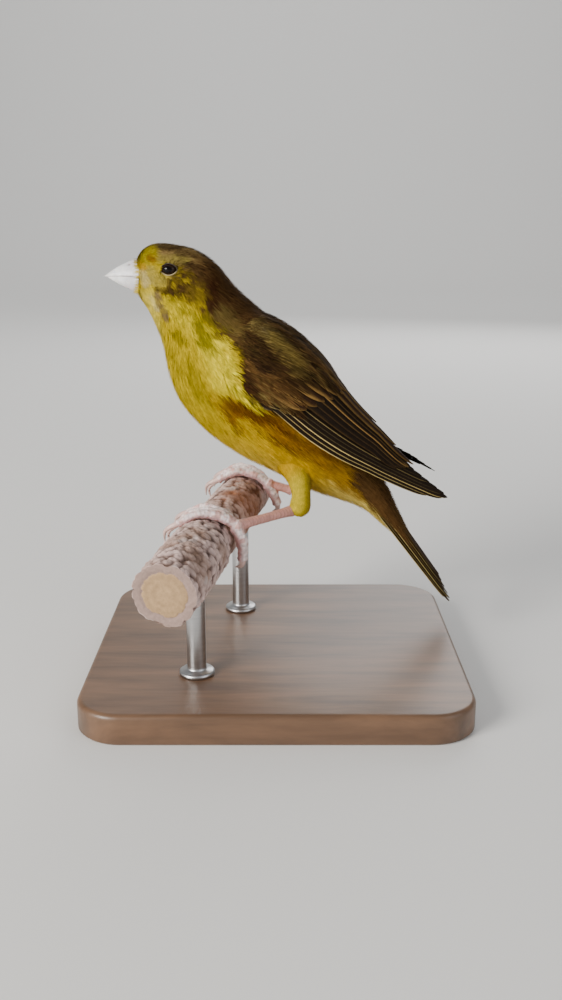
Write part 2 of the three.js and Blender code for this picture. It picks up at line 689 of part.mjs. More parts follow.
// Stand: a rounded board with chamfered edges, and two rods that end just under the perch
function standBase() {
  const [wide, deep] = BASE_SIZE;
  const inset = BASE_CHAMFER;
  const outline = new THREE.Shape();
  const [x, y, r] = [wide / 2 - inset, deep / 2 - inset, BASE_CORNER - inset];
  outline.moveTo(-x + r, -y).lineTo(x - r, -y).absarc(x - r, -y + r, r, -Math.PI / 2, 0);
  outline.lineTo(x, y - r).absarc(x - r, y - r, r, 0, Math.PI / 2);
  outline.lineTo(-x + r, y).absarc(-x + r, y - r, r, Math.PI / 2, Math.PI);
  outline.lineTo(-x, -y + r).absarc(-x + r, -y + r, r, Math.PI, 1.5 * Math.PI);
  const geometry = new THREE.ExtrudeGeometry(outline, {
    depth: BASE_THICKNESS - 2 * BASE_CHAMFER,
    bevelThickness: BASE_CHAMFER,
    bevelSize: BASE_CHAMFER,
    bevelSegments: 1,
    curveSegments: 5,
  });
  geometry.translate(0, 0, BASE_CHAMFER);
  return fromGeometry(geometry);
}

function standRod(place, perchGrown) {
  const onAxis = perchPoint(place, 0, 0).add(PERCH_AT);
  const bottom = BASE_THICKNESS + GAP;
  const geometry = new THREE.CylinderGeometry(ROD_RADIUS, ROD_RADIUS, onAxis.z - bottom, 20);
  geometry.rotateX(Math.PI / 2).translate(onAxis.x, onAxis.y, (onAxis.z + bottom) / 2);
  const grown = perchGrown.translate(PERCH_AT.toArray());
  return largest(fromGeometry(geometry).subtract(grown));
}

// Materials and the scene graph
const finish = (color, roughness, metalness = 0) =>
  new THREE.MeshStandardMaterial({ color, roughness, metalness });
const MATERIALS = {
  yellow: finish(0xb9a02c, 0.8),
  olive: finish(0x7d6a28, 0.8),
  wing: finish(0x3f2d1c, 0.75),
  bill: finish(0xd9d0cf, 0.45),
  eye: finish(0x0c0908, 0.1),
  leg: finish(0xc79c93, 0.6),
  crust: finish(0xa58a7c, 0.95),
  board: finish(0x5a3d28, 0.6),
  rod: finish(0x8c8f92, 0.35, 1),
};

function meshOf(name, solid, material) {
  const { numProp, vertProperties, triVerts } = solid.getMesh();
  const places = new Float32Array((vertProperties.length / numProp) * 3);
  for (let i = 0; i < places.length / 3; i += 1) {
    places.set(vertProperties.subarray(i * numProp, i * numProp + 3), i * 3);
  }
  const geometry = new THREE.BufferGeometry();
  geometry.setAttribute("position", new THREE.BufferAttribute(places, 3));
  geometry.setIndex(new THREE.BufferAttribute(new Uint32Array(triVerts), 1));
  geometry.computeVertexNormals();
  const mesh = new THREE.Mesh(geometry, material);
  mesh.name = name;
  return mesh;
}

const body = bodySolid();
const bodyGrown = bodySolid(CUT_CLEARANCE);
skinMesh = meshOf("skin", body, new THREE.MeshStandardMaterial({ side: THREE.DoubleSide }));
const perch = perchSolid();
const perchGrown = perchSolid(CUT_CLEARANCE);

const bird = new THREE.Group();
bird.position.copy(PERCH_AT);

const eyeRoom = [-1, 1].map((side) => eye(side, GAP));
const lidded = join([between(body, undefined, HEAD_END), lids(-1), lids(1)]);
const head = eyeRoom.reduce((solid, room) => solid.subtract(room), lidded);
bird.add(meshOf("head", largest(head), MATERIALS.olive));
bird.add(meshOf("neck", between(body, HEAD_END, NECK_END), MATERIALS.yellow));
bird.add(meshOf("torso", between(body, NECK_END, TORSO_END), MATERIALS.yellow));
bird.add(meshOf("tail", tail(body), MATERIALS.wing));
const upper = [-1, 1].reduce((solid, side) => solid.subtract(nostril(side)), mandible(1));
bird.add(meshOf("bill_upper", largest(upper), MATERIALS.bill));
bird.add(meshOf("bill_lower", mandible(-1), MATERIALS.bill));

[[-1, "left"], [1, "right"]].forEach(([side, word]) => {
  bird.add(meshOf(`eye_${word}`, eye(side), MATERIALS.eye));
  bird.add(meshOf(`wing_${word}`, wing(side, bodyGrown), MATERIALS.wing));
  bird.add(meshOf(`thigh_${word}`, largest(thigh(side).subtract(bodyGrown)), MATERIALS.yellow));
  bird.add(meshOf(`foot_${word}`, foot(side, thigh(side, CUT_CLEARANCE), perchGrown), MATERIALS.leg));
});
bird.add(meshOf("perch", perch, MATERIALS.crust));

const canary = new THREE.Group();
canary.add(bird);
canary.add(meshOf("stand_base", standBase(), MATERIALS.board));
ROD_PLACES.forEach((place, i) => {
  canary.add(meshOf(`stand_rod_${i === 0 ? "front" : "back"}`, standRod(place, perchGrown), MATERIALS.rod));
});

export default canary;
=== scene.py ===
"""A canary gripping a short cut length of crusted perch, on a plain rod stand.

Lengths inside this file are millimetres in the bird's own frame, whose origin is the perch's axis
between the feet: the bird faces -X, its left side is towards -Y. new_piece() turns them into
metres in the part's frame, whose origin is the middle of the base's underside."""

import math
from types import SimpleNamespace

import bpy
import numpy as np
from bpy.props import FloatProperty, FloatVectorProperty, IntProperty, PointerProperty
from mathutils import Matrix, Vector
from mathutils.bvhtree import BVHTree


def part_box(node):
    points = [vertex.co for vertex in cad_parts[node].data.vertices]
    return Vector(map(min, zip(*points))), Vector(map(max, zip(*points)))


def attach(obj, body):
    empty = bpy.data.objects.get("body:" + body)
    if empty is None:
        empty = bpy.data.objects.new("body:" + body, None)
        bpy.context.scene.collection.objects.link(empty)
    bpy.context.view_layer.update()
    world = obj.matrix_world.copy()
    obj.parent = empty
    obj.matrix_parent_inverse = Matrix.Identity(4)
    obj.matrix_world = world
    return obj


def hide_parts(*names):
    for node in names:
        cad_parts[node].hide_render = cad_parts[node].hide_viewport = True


bl_info = {
    "name": "Canary on a perch",
    "version": (1, 0, 0),
    "blender": (4, 5, 0),
    "location": "3D View > Sidebar > Canary",
    "description": "Makes a feathered canary on a crusted perch with a plain display stand",
    "category": "Add Mesh",
}

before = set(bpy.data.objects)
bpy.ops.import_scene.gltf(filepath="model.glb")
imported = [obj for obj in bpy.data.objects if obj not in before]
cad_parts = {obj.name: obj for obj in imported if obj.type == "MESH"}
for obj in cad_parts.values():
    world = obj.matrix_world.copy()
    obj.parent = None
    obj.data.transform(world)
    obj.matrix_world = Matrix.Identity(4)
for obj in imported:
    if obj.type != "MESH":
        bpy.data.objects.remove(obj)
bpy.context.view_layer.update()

MM = 0.001
SIDES = ((-1, "left"), (1, "right"))
# the perch's axis between the feet, from the middle of the base's underside
PERCH_AT = np.array([-13.0, 15.0, 42.0])
SEED = 7

# Side outline of the body from the bill's root to the tail's root, then on along the tail's coverts:
# top x, top z, bottom x, bottom z, half width
BODY = [
    [-25.1, 70.3, -25.7, 62.1, 3.9],
    [-22.9, 73.2, -23.7, 59.5, 6.1],
    [-19.6, 74.6, -21.4, 55.7, 7.4],
    [-14.6, 74.4, -19.4, 50.6, 8.2],
    [-8.6, 73.0, -18.2, 46.3, 8.8],
    [-3.2, 69.4, -17.4, 41.3, 9.9],
    [2.1, 63.0, -16.2, 36.4, 12.2],
    [9.6, 56.4, -12.6, 29.6, 14.4],
    [17.6, 49.6, -5.6, 22.3, 15.6],
    [25.0, 42.4, 3.2, 16.2, 15.8],
    [30.3, 34.4, 12.4, 11.6, 14.8],
    [35.4, 25.6, 21.8, 6.6, 12.0],
    [40.0, 16.8, 30.0, 3.6, 9.0],
    [44.4, 8.2, 37.0, 1.0, 6.6],
    [48.0, 0.6, 43.6, -4.4, 5.2],
    [51.6, -7.0, 49.2, -9.4, 4.6],
    [55.8, -14.4, 54.2, -15.4, 4.0],
]
# last row of the body that wings and eyes are laid on
BODY_LAST = 15

# Eye
EYE_AT = (-15.55, 68.1)
EYE_RADII = (2.1, 1.65, 1.5)
EYE_DEPTH = 0.75
EYE_TURN = 12
IRIS_ANGLE = 0.9

# Bill
BILL_ROOT = np.array([-25.75, 0.0, 66.0])
BILL_LENGTH = 8.1
BILL_HALF_WIDTH = 3.6
CULMEN_HEIGHT = 4.3
GONYS_HEIGHT = 3.9
BILL_ROOT_LEAN = 0.073
BILL_RISE = 0.05
MOUTH_GAP = 0.04

# Folded wing, laid out as in the solids: distance a along the axis from the bend, angle phi round
# the body from the wing's lower edge to the middle of the back
WING_BEND = np.array([-1.8, 0.0, 45.1])
WING_SLOPE = 32.8
WING_ROW_START = -10
WING_ROW_STEP = 10
WING_ROWS = [
    [-2.5, 12.0, 17.2],
    [-3.0, 14.2, 17.6],
    [-3.5, 16.0, 17.4],
    [-3.8, 16.8, 16.8],
    [-4.5, 16.0, 14.6],
    [-4.6, 13.6, 11.8],
    [-3.8, 10.4, 8.8],
    [-2.4, 7.4, 5.6],
    [-0.8, 5.2, 3.0],
    [0.8, 4.0, 1.4],
]
WING_LENGTH = 74
# height of the right wing's feathers over the left one's, along the wing
RIGHT_RAISE = [[28, 0], [44, -1.3], [54, -0.6], [60, 0.9], [66, 1.8], [74, 1.9]]
RIGHT_WING_FOLD = 4.8
SKIN_TO_WING = 0.7
# feathered arm: distance along the axis, lowest and highest angle, thickness
ARM_ROWS = [
    [-1, 14, 52, 0.3], [2.5, -3, 68, 1.3], [9, -8, 78, 2.1],
    [15, -5, 84, 2.2], [21, 4, 86, 2.3], [30, 12, 86, 2.2],
]
# height of the feathers between the wings, and how far the small feathers reach along the wing
SADDLE_LIFT = 1.3
COVERTS_REACH = 19.0
SCAPULARS_REACH = 33.0

# Tiers of the folded wing, from the lowest vane up: where they start and end along the axis, the
# angle of the first vane, the angle between vanes, the height over the body, the shape of the tip,
# the colours, and how pale the edge of each vane is
PRIMARIES = {
    "start": 12, "ends": [69.5, 73.2, 74.6, 73.2, 70.6, 67.8, 65, 62],
    "low": [[14, 4.8], [50, 1.1], [74, -11]], "pitch": [[14, 3.2], [50, 4.6], [74, 8]],
    "lift": [[12, 0.35], [40, 0.55], [74, 0.7]], "overlap": 2.4, "step": 0.3, "point": 0.92,
    "taper": 0.55, "web": "vane_dark", "edge": "vane_edge", "edge_share": 0.095, "tip": 0.0,
    "edges": [1, 0.6, 1.1, 0.12, 0.06, 0.35, 0.06, 0.1],
}
SECONDARIES = {
    "start": 13, "ends": [57, 58.4, 59.4, 60, 60.2, 59.6],
    "low": [[14, 27], [48, 28], [60, 17]], "pitch": [[14, 6], [48, 6], [60, 5.4]],
    "lift": [[14, 0.7], [26, 1.25], [54, 1.3]], "overlap": 2.2, "step": 0.3, "point": 0.9, "taper": 0.55,
    "web": "vane_dark", "edge": "covert_edge", "edge_share": 0.12, "tip": 0.4,
    "edges": [0.3, 0.2, 0.5, 2.2, 0.4, 0.9],
}
TERTIALS = {
    "start": 14, "ends": [61, 54, 46],
    "low": [[15, 60], [48, 59], [60, 46]], "pitch": [[15, 9]],
    "lift": [[15, 0.8], [26, 1.4], [54, 1.5]], "overlap": 2.0, "step": 0.36, "point": 0.84, "taper": 0.6,
    "web": "vane_brown", "edge": "covert_edge", "edge_share": 0.22, "tip": 0.6, "edges": [0.9, 1.0, 0.8],
}
PRIMARY_COVERTS = {
    "start": 9, "ends": [18.5, 20, 21.5, 23],
    "low": [[9, 2]], "pitch": [[9, 4.2]],
    "lift": [[9, 0.2], [14, 0.7], [24, 1.15]], "overlap": 1.7, "step": 0.34, "point": 0.7, "taper": 0.7,
    "web": "vane_dark", "edge": "vane_edge", "edge_share": 0.13, "tip": 0.0,
    "edges": [0.25, 0.4, 0.25, 0.1],
}
GREATER_COVERTS = {
    "start": 12, "ends": [26, 28, 29.2, 31, 31.8, 32.9, 33.4],
    "low": [[10, 17], [30, 19]], "pitch": [[10, 8.0]],
    "lift": [[10, 0.7], [20, 1.4], [34, 1.8]], "overlap": 1.7, "step": 0.38, "point": 0.6, "taper": 0.7,
    "web": "vane_brown", "edge": "covert_edge", "edge_share": 0.3, "tip": 0.4,
    "edges": [1.2, 1.4, 1.6, 1.5, 1.6, 1.4, 1.2],
}
WING_TIERS = [PRIMARIES, SECONDARIES, TERTIALS, PRIMARY_COVERTS, GREATER_COVERTS]
# the right wing's primaries, closed tighter, and how much sooner its inner feathers end
RIGHT_PRIMARIES = {
    "low": [[14, 4], [50, 8], [60, 18], [74, 26]], "pitch": [[14, 3.2], [50, 3.6], [60, 3.2], [74, 3]],
    "point": 0.84,
}
RIGHT_CUT = 4

# Tail. TAIL_ENDS says how far each feather reaches, from the middle one out, left side first
TAIL_ROOT = np.array([33.0, 0.0, 17.0])
TAIL_SLOPE = 53.9
TAIL_ROLL = 6
TAIL_START = 6
TAIL_WIDTHS = (4.3, 3.5)
TAIL_ENDS = [[46.0, 48.0, 50.2, 52.4, 53.4, 51.2], [46.6, 48.8, 51.2, 53.6, 55.4, 53.4]]
TAIL_VANE = {
    "web": "vane_brown", "edge": "vane_edge", "edge_share": 0.07, "tip": 0.1,
    "edges": [0.1, 0.3, 0.12, 0.6, 0.15, 0.9],
}

# Perch and legs
PERCH_RADIUS = 7.2
PERCH_TURN = 12
PERCH_RISE = 3
PERCH_FRONT = -62
PERCH_BACK = 22
PERCH_ROUNDING = 5
PERCH_CORE = 0.72
CRUST_STEP = 0.6
CRUST_STEP_AT = (-33, -29)
FOOT_PLACES = {-1: -26.3, 1: 11.5}
TARSUS_RADIUS = 1.3
TOE_RADIUS = 1.35
KNOT_RADIUS = 1.75
PLATE_LENGTH = 1.35
FOOT_VOXEL = 0.17
HEEL = np.array([17.2, 11.0, 2.9])
PATH_STEPS = 60
THIGH_PATH = [[16.4, 6.8, 18.0], [19.0, 9.7, 12.0], [19.7, 11.1, 6.6], [18.8, 11.1, 1.7]]
THIGH_RADII = [[0, 5.0], [0.3, 3.7], [0.5, 2.8], [0.68, 2.45], [0.84, 2.9], [0.93, 2.6], [1, 1.4]]

# Stand
BOARD_CORNER = 12.0
BOARD_EDGE = 1.4

# Camera, as in the photograph: level across, looking down on the bird from its left side
CAMERA_LENS = 36
CAMERA_AT = np.array([14.13, -278.0, 80.0])
CAMERA_DIP = 15.5
SENSOR_WIDTH = 36


class CanarySizes(bpy.types.PropertyGroup):
    coat_depth: FloatProperty(
        name="Coat depth", description="Depth of the small feathers over the body's skin",
        default=0.0013, min=0.0004, max=0.003, unit="LENGTH",
    )
    face_depth: FloatProperty(
        name="Face coat depth", description="Depth of the smallest feathers, round the bill and eyes",
        default=0.00035, min=0.0001, max=0.001, unit="LENGTH",
    )
    feather_density: FloatProperty(
        name="Feather density", description="Share of the full number of body feathers",
        default=1.0, min=0.1, max=1.5, subtype="FACTOR",
    )
    vane_thickness: FloatProperty(
        name="Vane thickness", description="Thickness of a flight feather beside its shaft",
        default=0.00015, min=0.00005, max=0.0005, unit="LENGTH",
    )
    crust_height: FloatProperty(
        name="Crust height", description="Height of the largest lumps in the perch's crust",
        default=0.0007, min=0.0, max=0.002, unit="LENGTH",
    )
    vane_rows: IntProperty(
        name="Vane rows", description="Rows of faces along a flight feather", default=22, min=6, max=60,
    )


def colour_property(name, description, value):
    return FloatVectorProperty(
        name=name, description=description, subtype="COLOR", size=3, min=0, max=1, default=value
    )


class CanaryColours(bpy.types.PropertyGroup):
    breast: colour_property("Breast", "Tips of the breast feathers", (0.57, 0.42, 0.007))
    breast_shade: colour_property("Breast shade", "Middle of the breast feathers", (0.47, 0.33, 0.006))
    shoulder: colour_property("Shoulder patch", "Bright feathers in front of the wing", (0.74, 0.60, 0.015))
    belly: colour_property("Belly", "Belly and flanks", (0.60, 0.36, 0.004))
    flank_streak: colour_property("Flank streak", "Streaks along the flanks", (0.15, 0.055, 0.003))
    vent: colour_property("Vent", "Palest feathers under the tail", (0.80, 0.62, 0.14))
    forehead: colour_property("Forehead", "Bright feathers over the bill", (0.39, 0.30, 0.008))
    crown: colour_property("Crown", "Edges of the crown feathers", (0.29, 0.19, 0.065))
    crown_streak: colour_property("Crown streak", "Middle of the crown feathers", (0.042, 0.022, 0.008))
    back: colour_property("Back", "Edges of the back feathers", (0.12, 0.058, 0.018))
    back_streak: colour_property("Back streak", "Middle of the back feathers", (0.024, 0.010, 0.004))
    covert_edge: colour_property("Covert edge", "Edges of the wing coverts", (0.15, 0.085, 0.024))
    vane_brown: colour_property("Covert web", "Middle of the wing coverts", (0.026, 0.012, 0.006))
    vane_dark: colour_property("Flight web", "Middle of the flight feathers", (0.0135, 0.0085, 0.0055))
    vane_edge: colour_property("Flight edge", "Outer edges of the flight feathers", (0.62, 0.47, 0.17))
    thigh: colour_property("Thigh", "Feathers of the thigh", (0.70, 0.54, 0.03))
    bill: colour_property("Bill", "Horn of the bill", (0.95, 0.93, 0.91))
    leg: colour_property("Leg", "Skin of the legs and toes", (0.70, 0.33, 0.28))
    crust: colour_property("Crust", "Sandy crust of the perch", (0.42, 0.29, 0.245))
    stand: colour_property("Stand", "Wood of the base", (0.16, 0.085, 0.045))


def colours_of(context):
    """The colour properties as arrays, which can be blended."""
    group = context.scene.canary_colours
    return SimpleNamespace(**{key: np.array(getattr(group, key)) for key in own_properties(group)})


def own_properties(group):
    return [key for key in group.bl_rna.properties.keys() if key not in ("rna_type", "name")]


# Numbers and noise


def ramp(pairs, x):
    """Value on straight lines through [place, value] pairs."""
    places, values = zip(*pairs)
    return np.interp(x, places, values)


def smooth(x, low=0.0, high=1.0):
    share = np.clip((x - low) / (high - low), 0, 1)
    return share * share * (3 - 2 * share)


def mix(a, b, share):
    return a + (b - a) * share


def blend_colours(a, b, share):
    return mix(np.asarray(a), np.asarray(b), np.asarray(share)[..., None])


def sample_rows(rows, t):
    """Values between the rows of a table, on a smooth curve through them."""
    rows = np.asarray(rows, float)
    last = len(rows) - 1
    t = np.asarray(t, float)
    i = np.clip(np.floor(t).astype(int), 0, last - 1)
    f = (t - i)[..., None]
    p0, p1, p2, p3 = (rows[np.clip(i + k, 0, last)] for k in (-1, 0, 1, 2))
    return p1 + 0.5 * f * (p2 - p0 + f * (2 * p0 - 5 * p1 + 4 * p2 - p3 + f * (3 * (p1 - p2) + p3 - p0)))


def unit(vectors):
    return vectors / np.maximum(np.linalg.norm(vectors, axis=-1, keepdims=True), 1e-9)


def lattice(cell, seed):
    """A fixed number between 0 and 1 for each cell of a grid."""
    h = cell[..., 0] * 374761393 + cell[..., 1] * 668265263 + cell[..., 2] * 2147483647 + seed * 1274126177
    h = (h ^ (h >> 13)) * 1274126177 & 0x7FFFFFFF
    h = (h ^ (h >> 16)) * 2246822519 & 0x7FFFFFFF
    return (h & 0xFFFFF) / 0xFFFFF


def value_noise(points, size, seed=0):
    """Soft noise from 0 to 1 with lumps of the given size."""
    q = np.asarray(points) / size
    cell = np.floor(q).astype(np.int64)
    f = q - cell
    f = f * f * (3 - 2 * f)
    total = 0.0
    for corner in np.ndindex(2, 2, 2):
        weight = np.prod(np.where(corner, f, 1 - f), axis=-1)
        total = total + weight * lattice(cell + np.array(corner), seed)
    return total


def grain_noise(points, size, seed=0):
    """About 0 in the middle of a grain and 1 between grains of the given size."""
    q = np.asarray(points) / size
    cell = np.floor(q).astype(np.int64)
    nearest = np.full(q.shape[:-1], 9.0)
    for shift in np.ndindex(3, 3, 3):
        other = cell + np.array(shift) - 1
        middle = other + np.stack([lattice(other, seed + k) for k in (1, 2, 3)], -1)
        nearest = np.minimum(nearest, np.linalg.norm(q - middle, axis=-1))
    return np.clip(nearest, 0, 1)


def near_line(points, start, end, width):
    """1 beside a line in the side view, falling to 0 at about the given distance."""
    a, b = np.array(start, float), np.array(end, float)
    p = points[..., [0, 2]]
    share = np.clip(((p - a) @ (b - a)) / max((b - a) @ (b - a), 1e-9), 0, 1)
    distance = np.linalg.norm(p - a - share[..., None] * (b - a), axis=-1)
    return 1 - smooth(distance, width * 0.45, width * 1.25)


def near_lines(points, lines):
    """The most that any of several lines, each with its width, gives at points."""
    return np.maximum.reduce([near_line(points, *line) for line in lines])


# Shapes shared by several pieces


def body_point(t, theta):
    """Body surface. t counts the rows of BODY, and theta turns from the right side over the back."""
    top_x, top_z, low_x, low_z, half = np.moveaxis(sample_rows(BODY, t), -1, 0)
    up, across = np.sin(theta), np.cos(theta)
    x = (top_x + low_x) / 2 + (top_x - low_x) / 2 * up
    z = (top_z + low_z) / 2 + (top_z - low_z) / 2 * up
    return np.stack([x, half * across, z], -1)


def body_side(x, z):
    """Half width of the body at a place in the side view."""
    t, theta = np.linspace(0, BODY_LAST, 301), np.linspace(-math.pi / 2, math.pi / 2, 181)
    p = body_point(*np.meshgrid(t, theta, indexing="ij")).reshape(-1, 3)
    return p[np.argmin(np.hypot(p[:, 0] - x, p[:, 2] - z)), 1]


WING_AXIS = np.array([math.cos(math.radians(WING_SLOPE)), 0, -math.sin(math.radians(WING_SLOPE))])
WING_UP = np.array([math.sin(math.radians(WING_SLOPE)), 0, math.cos(math.radians(WING_SLOPE))])
TAIL_AXIS = np.array([math.cos(math.radians(TAIL_SLOPE)), 0, -math.sin(math.radians(TAIL_SLOPE))])
TAIL_UP = np.array([math.sin(math.radians(TAIL_SLOPE)), 0, math.cos(math.radians(TAIL_SLOPE))])


class Surface:
    """A grid of points over a closed or open form, read at places between its rows and columns."""

    def __init__(self, grid, round_columns):
        self.grid = grid
        self.round = round_columns
        self.rows, self.columns = grid.shape[:2]
        around = np.roll(grid, -1, 1) - np.roll(grid, 1, 1) if round_columns else np.gradient(grid, axis=1)
        self.along = np.gradient(grid, axis=0)
        self.around = around / 2 if round_columns else around
        self.normal = unit(np.cross(self.around, self.along))

    def read(self, table, u, v):
        u = np.clip(u, 0, self.rows - 1.001)
        i = np.floor(u).astype(int)
        v = v % self.columns if self.round else np.clip(v, 0, self.columns - 1.001)
        j = np.floor(v).astype(int)
        fu, fv = (u - i)[..., None], (v - j)[..., None]
        j1 = (j + 1) % self.columns
        low = table[i, j] * (1 - fv) + table[i, j1] * fv
        high = table[i + 1, j] * (1 - fv) + table[i + 1, j1] * fv
        return low * (1 - fu) + high * fu

    def steps(self, u, v, direction):
        """Rows and columns that one millimetre in a direction crosses."""
        a, b = self.read(self.along, u, v), self.read(self.around, u, v)
        aa, ab, bb = (a * a).sum(-1), (a * b).sum(-1), (b * b).sum(-1)
        da, db = (direction * a).sum(-1), (direction * b).sum(-1)
        bottom = np.maximum(aa * bb - ab * ab, 1e-9)
        return (da * bb - db * ab) / bottom, (db * aa - da * ab) / bottom

    def cell_areas(self):
        sizes = np.linalg.norm(np.cross(self.along, self.around), axis=-1)
        return sizes[:-1] if self.round else sizes[:-1, :-1]


def body_shape():
    """The body alone as a closed tree for rays, to lay the wings on."""
    t, theta = np.linspace(0, BODY_LAST, 151), np.linspace(0, 2 * math.pi, 96, endpoint=False)
    grid = body_point(*np.meshgrid(t, theta, indexing="ij"))
    quads = grid_faces(*grid.shape[:2])
    return BVHTree.FromPolygons([Vector(p) for p in grid.reshape(-1, 3)], quads.tolist())


REACH_STEP_A = 1.0
REACH_STEP_PHI = 4.0
REACH_A = np.arange(-12, 84, REACH_STEP_A)
REACH_PHI = np.arange(-44, 104, REACH_STEP_PHI)
# how softly the wing's own form passes into the body's skin
REACH_BLEND = 0.64


def reach_table():
    """How far the body's skin is from its middle plane, for places a along the wing and angles phi."""
    tree = body_shape()
    far = 60.0  # outside the bird
    table = np.zeros((len(REACH_A), len(REACH_PHI)))
    for i, a in enumerate(REACH_A):
        b = sample_rows(WING_ROWS, np.array((a - WING_ROW_START) / WING_ROW_STEP))[0]
        middle = WING_BEND + WING_AXIS * a + WING_UP * b
        for j, phi in enumerate(REACH_PHI):
            out = np.array([0, math.cos(math.radians(phi)), 0]) + WING_UP * math.sin(math.radians(phi))
            hit = tree.ray_cast(Vector(middle + out * far), Vector(-out), far)
            table[i, j] = far - hit[3] if hit[0] is not None else 0.0
    return table


def wing_frame(side, along, phi, reach):
    """Middle, outward direction and resting distance of a place on the folded wing."""
    along, phi = np.broadcast_arrays(np.asarray(along, float), np.asarray(phi, float))
    share = np.where(side > 0, (np.maximum(0, along) / WING_LENGTH) ** 2, 0.0)
    a = along - RIGHT_WING_FOLD * share
    b, out, up = np.moveaxis(sample_rows(WING_ROWS, (a - WING_ROW_START) / WING_ROW_STEP), -1, 0)
    angle = np.radians(phi)
    raised = np.where(side > 0, ramp(RIGHT_RAISE, along), 0.0)
    middle = WING_BEND + a[..., None] * WING_AXIS + (b + raised)[..., None] * WING_UP
    direction = np.stack([0 * angle, side * np.cos(angle), 0 * angle], -1)
    direction = direction + np.sin(angle)[..., None] * WING_UP
    own = 1 / np.hypot(np.cos(angle) / out, np.sin(angle) / up)
    i = np.clip((a - REACH_A[0]) / REACH_STEP_A, 0, len(REACH_A) - 1.001)
    j = np.clip((phi - REACH_PHI[0]) / REACH_STEP_PHI, 0, len(REACH_PHI) - 1.001)
    i0, j0 = i.astype(int), j.astype(int)
    fi, fj = i - i0, j - j0
    skin = (
        reach[i0, j0] * (1 - fi) * (1 - fj) + reach[i0 + 1, j0] * fi * (1 - fj)
        + reach[i0, j0 + 1] * (1 - fi) * fj + reach[i0 + 1, j0 + 1] * fi * fj + SKIN_TO_WING
    )
    hug = 0.5 * (own + skin + np.sqrt((own - skin) ** 2 + REACH_BLEND))
    return middle, direction, hug


def wing_point(side, along, phi, lift, reach):
    middle, direction, hug = wing_frame(side, along, phi, reach)
    return middle + direction * (hug + lift)[..., None]


def wing_place(points):
    """Place along the wing's axis and angle round the body for points beside the bird."""
    a = (points - WING_BEND) @ WING_AXIS
    b = sample_rows(WING_ROWS, (a - WING_ROW_START) / WING_ROW_STEP)[..., 0]
    up = (points - WING_BEND) @ WING_UP - b
    return a, np.degrees(np.arctan2(up, np.abs(points[..., 1])))


def arm_cover(a, phi):
    """1 on the feathered arm of the wing and 0 off it, and the arm's thickness there."""
    rows = np.array(ARM_ROWS, float)
    low, high = np.interp(a, rows[:, 0], rows[:, 1]), np.interp(a, rows[:, 0], rows[:, 2])
    thick = np.interp(a, rows[:, 0], rows[:, 3])
    share = np.clip((phi - low) / (high - low), 0, 1)
    arch = np.sin(math.pi * mix(0.06, 0.94, share)) ** 0.5
    cover = smooth(a, -2.5, 2.0) * smooth(phi, low - 7, low + 5) * (1 - smooth(phi, high - 2, high + 9))
    return cover, 0.1 + thick * arch


COAT_ROWS = 409
COAT_COLUMNS = 288
COAT_END = 16.0
COAT_SOFTENING = 3


def coat_places(u, v):
    """Body places t and theta for rows and columns of the coat, whose columns start below."""
    return u * COAT_END / (COAT_ROWS - 1), v * 2 * math.pi / COAT_COLUMNS - math.pi / 2


def coat_surface(reach):
    """The body with the wings' feathered arms, as one surface that the small feathers lie on."""
    u, v = np.meshgrid(np.arange(COAT_ROWS), np.arange(COAT_COLUMNS), indexing="ij")
    points = body_point(*coat_places(u, v))
    a, phi = wing_place(points)
    cover, thick = arm_cover(a, phi)
    saddle = smooth(phi, 64, 80) * smooth(a, 5, 15) * (1 - smooth(a, 36, 47))
    lift = mix(thick * 0.9 + 0.1, SADDLE_LIFT, saddle)
    cover = np.maximum(cover * (1 - smooth(a, 31, 38)), saddle)
    raised = np.empty_like(points)
    for side in (-1, 1):
        ours = (points[..., 1] * side) >= 0
        raised[ours] = wing_point(side, a[ours], phi[ours], lift[ours], reach)
    grid = points + (raised - points) * cover[..., None]
    for _ in range(COAT_SOFTENING):
        grid[1:-1] = (grid[:-2] + 2 * grid[1:-1] + grid[2:]) / 4
        grid = (np.roll(grid, 1, 1) + 2 * grid + np.roll(grid, -1, 1)) / 4
    return Surface(grid, True)


def perch_directions():
    turn, rise = math.radians(PERCH_TURN), math.radians(PERCH_RISE)
    axis = np.array([math.sin(turn) * math.cos(rise), math.cos(turn) * math.cos(rise), math.sin(rise)])
    front = np.array([-math.cos(turn), math.sin(turn), 0])
    up = np.cross(axis, front)
    return axis, front, up if up[2] > 0 else -up


PERCH_AXIS, PERCH_SIDE, PERCH_UP = perch_directions()


def perch_point(along, theta, radius):
    """A point round the perch: theta is 0 on top and grows over the bird's front, in degrees."""
    along, theta, radius = np.broadcast_arrays(along, np.radians(theta), radius)
    return (
        along[..., None] * PERCH_AXIS + (radius * np.sin(theta))[..., None] * PERCH_SIDE
        + (radius * np.cos(theta))[..., None] * PERCH_UP
    )


def smooth_path(points, count):
    """Points spread evenly along a soft curve through the given ones."""
    points = np.asarray(points, float)
    fine = sample_rows(points, np.linspace(0, len(points) - 1, 200))
    length = np.concatenate([[0], np.cumsum(np.linalg.norm(np.diff(fine, axis=0), axis=1))])
    wanted = np.linspace(0, length[-1], count)
    return np.stack([np.interp(wanted, length, fine[:, k]) for k in range(3)], -1)


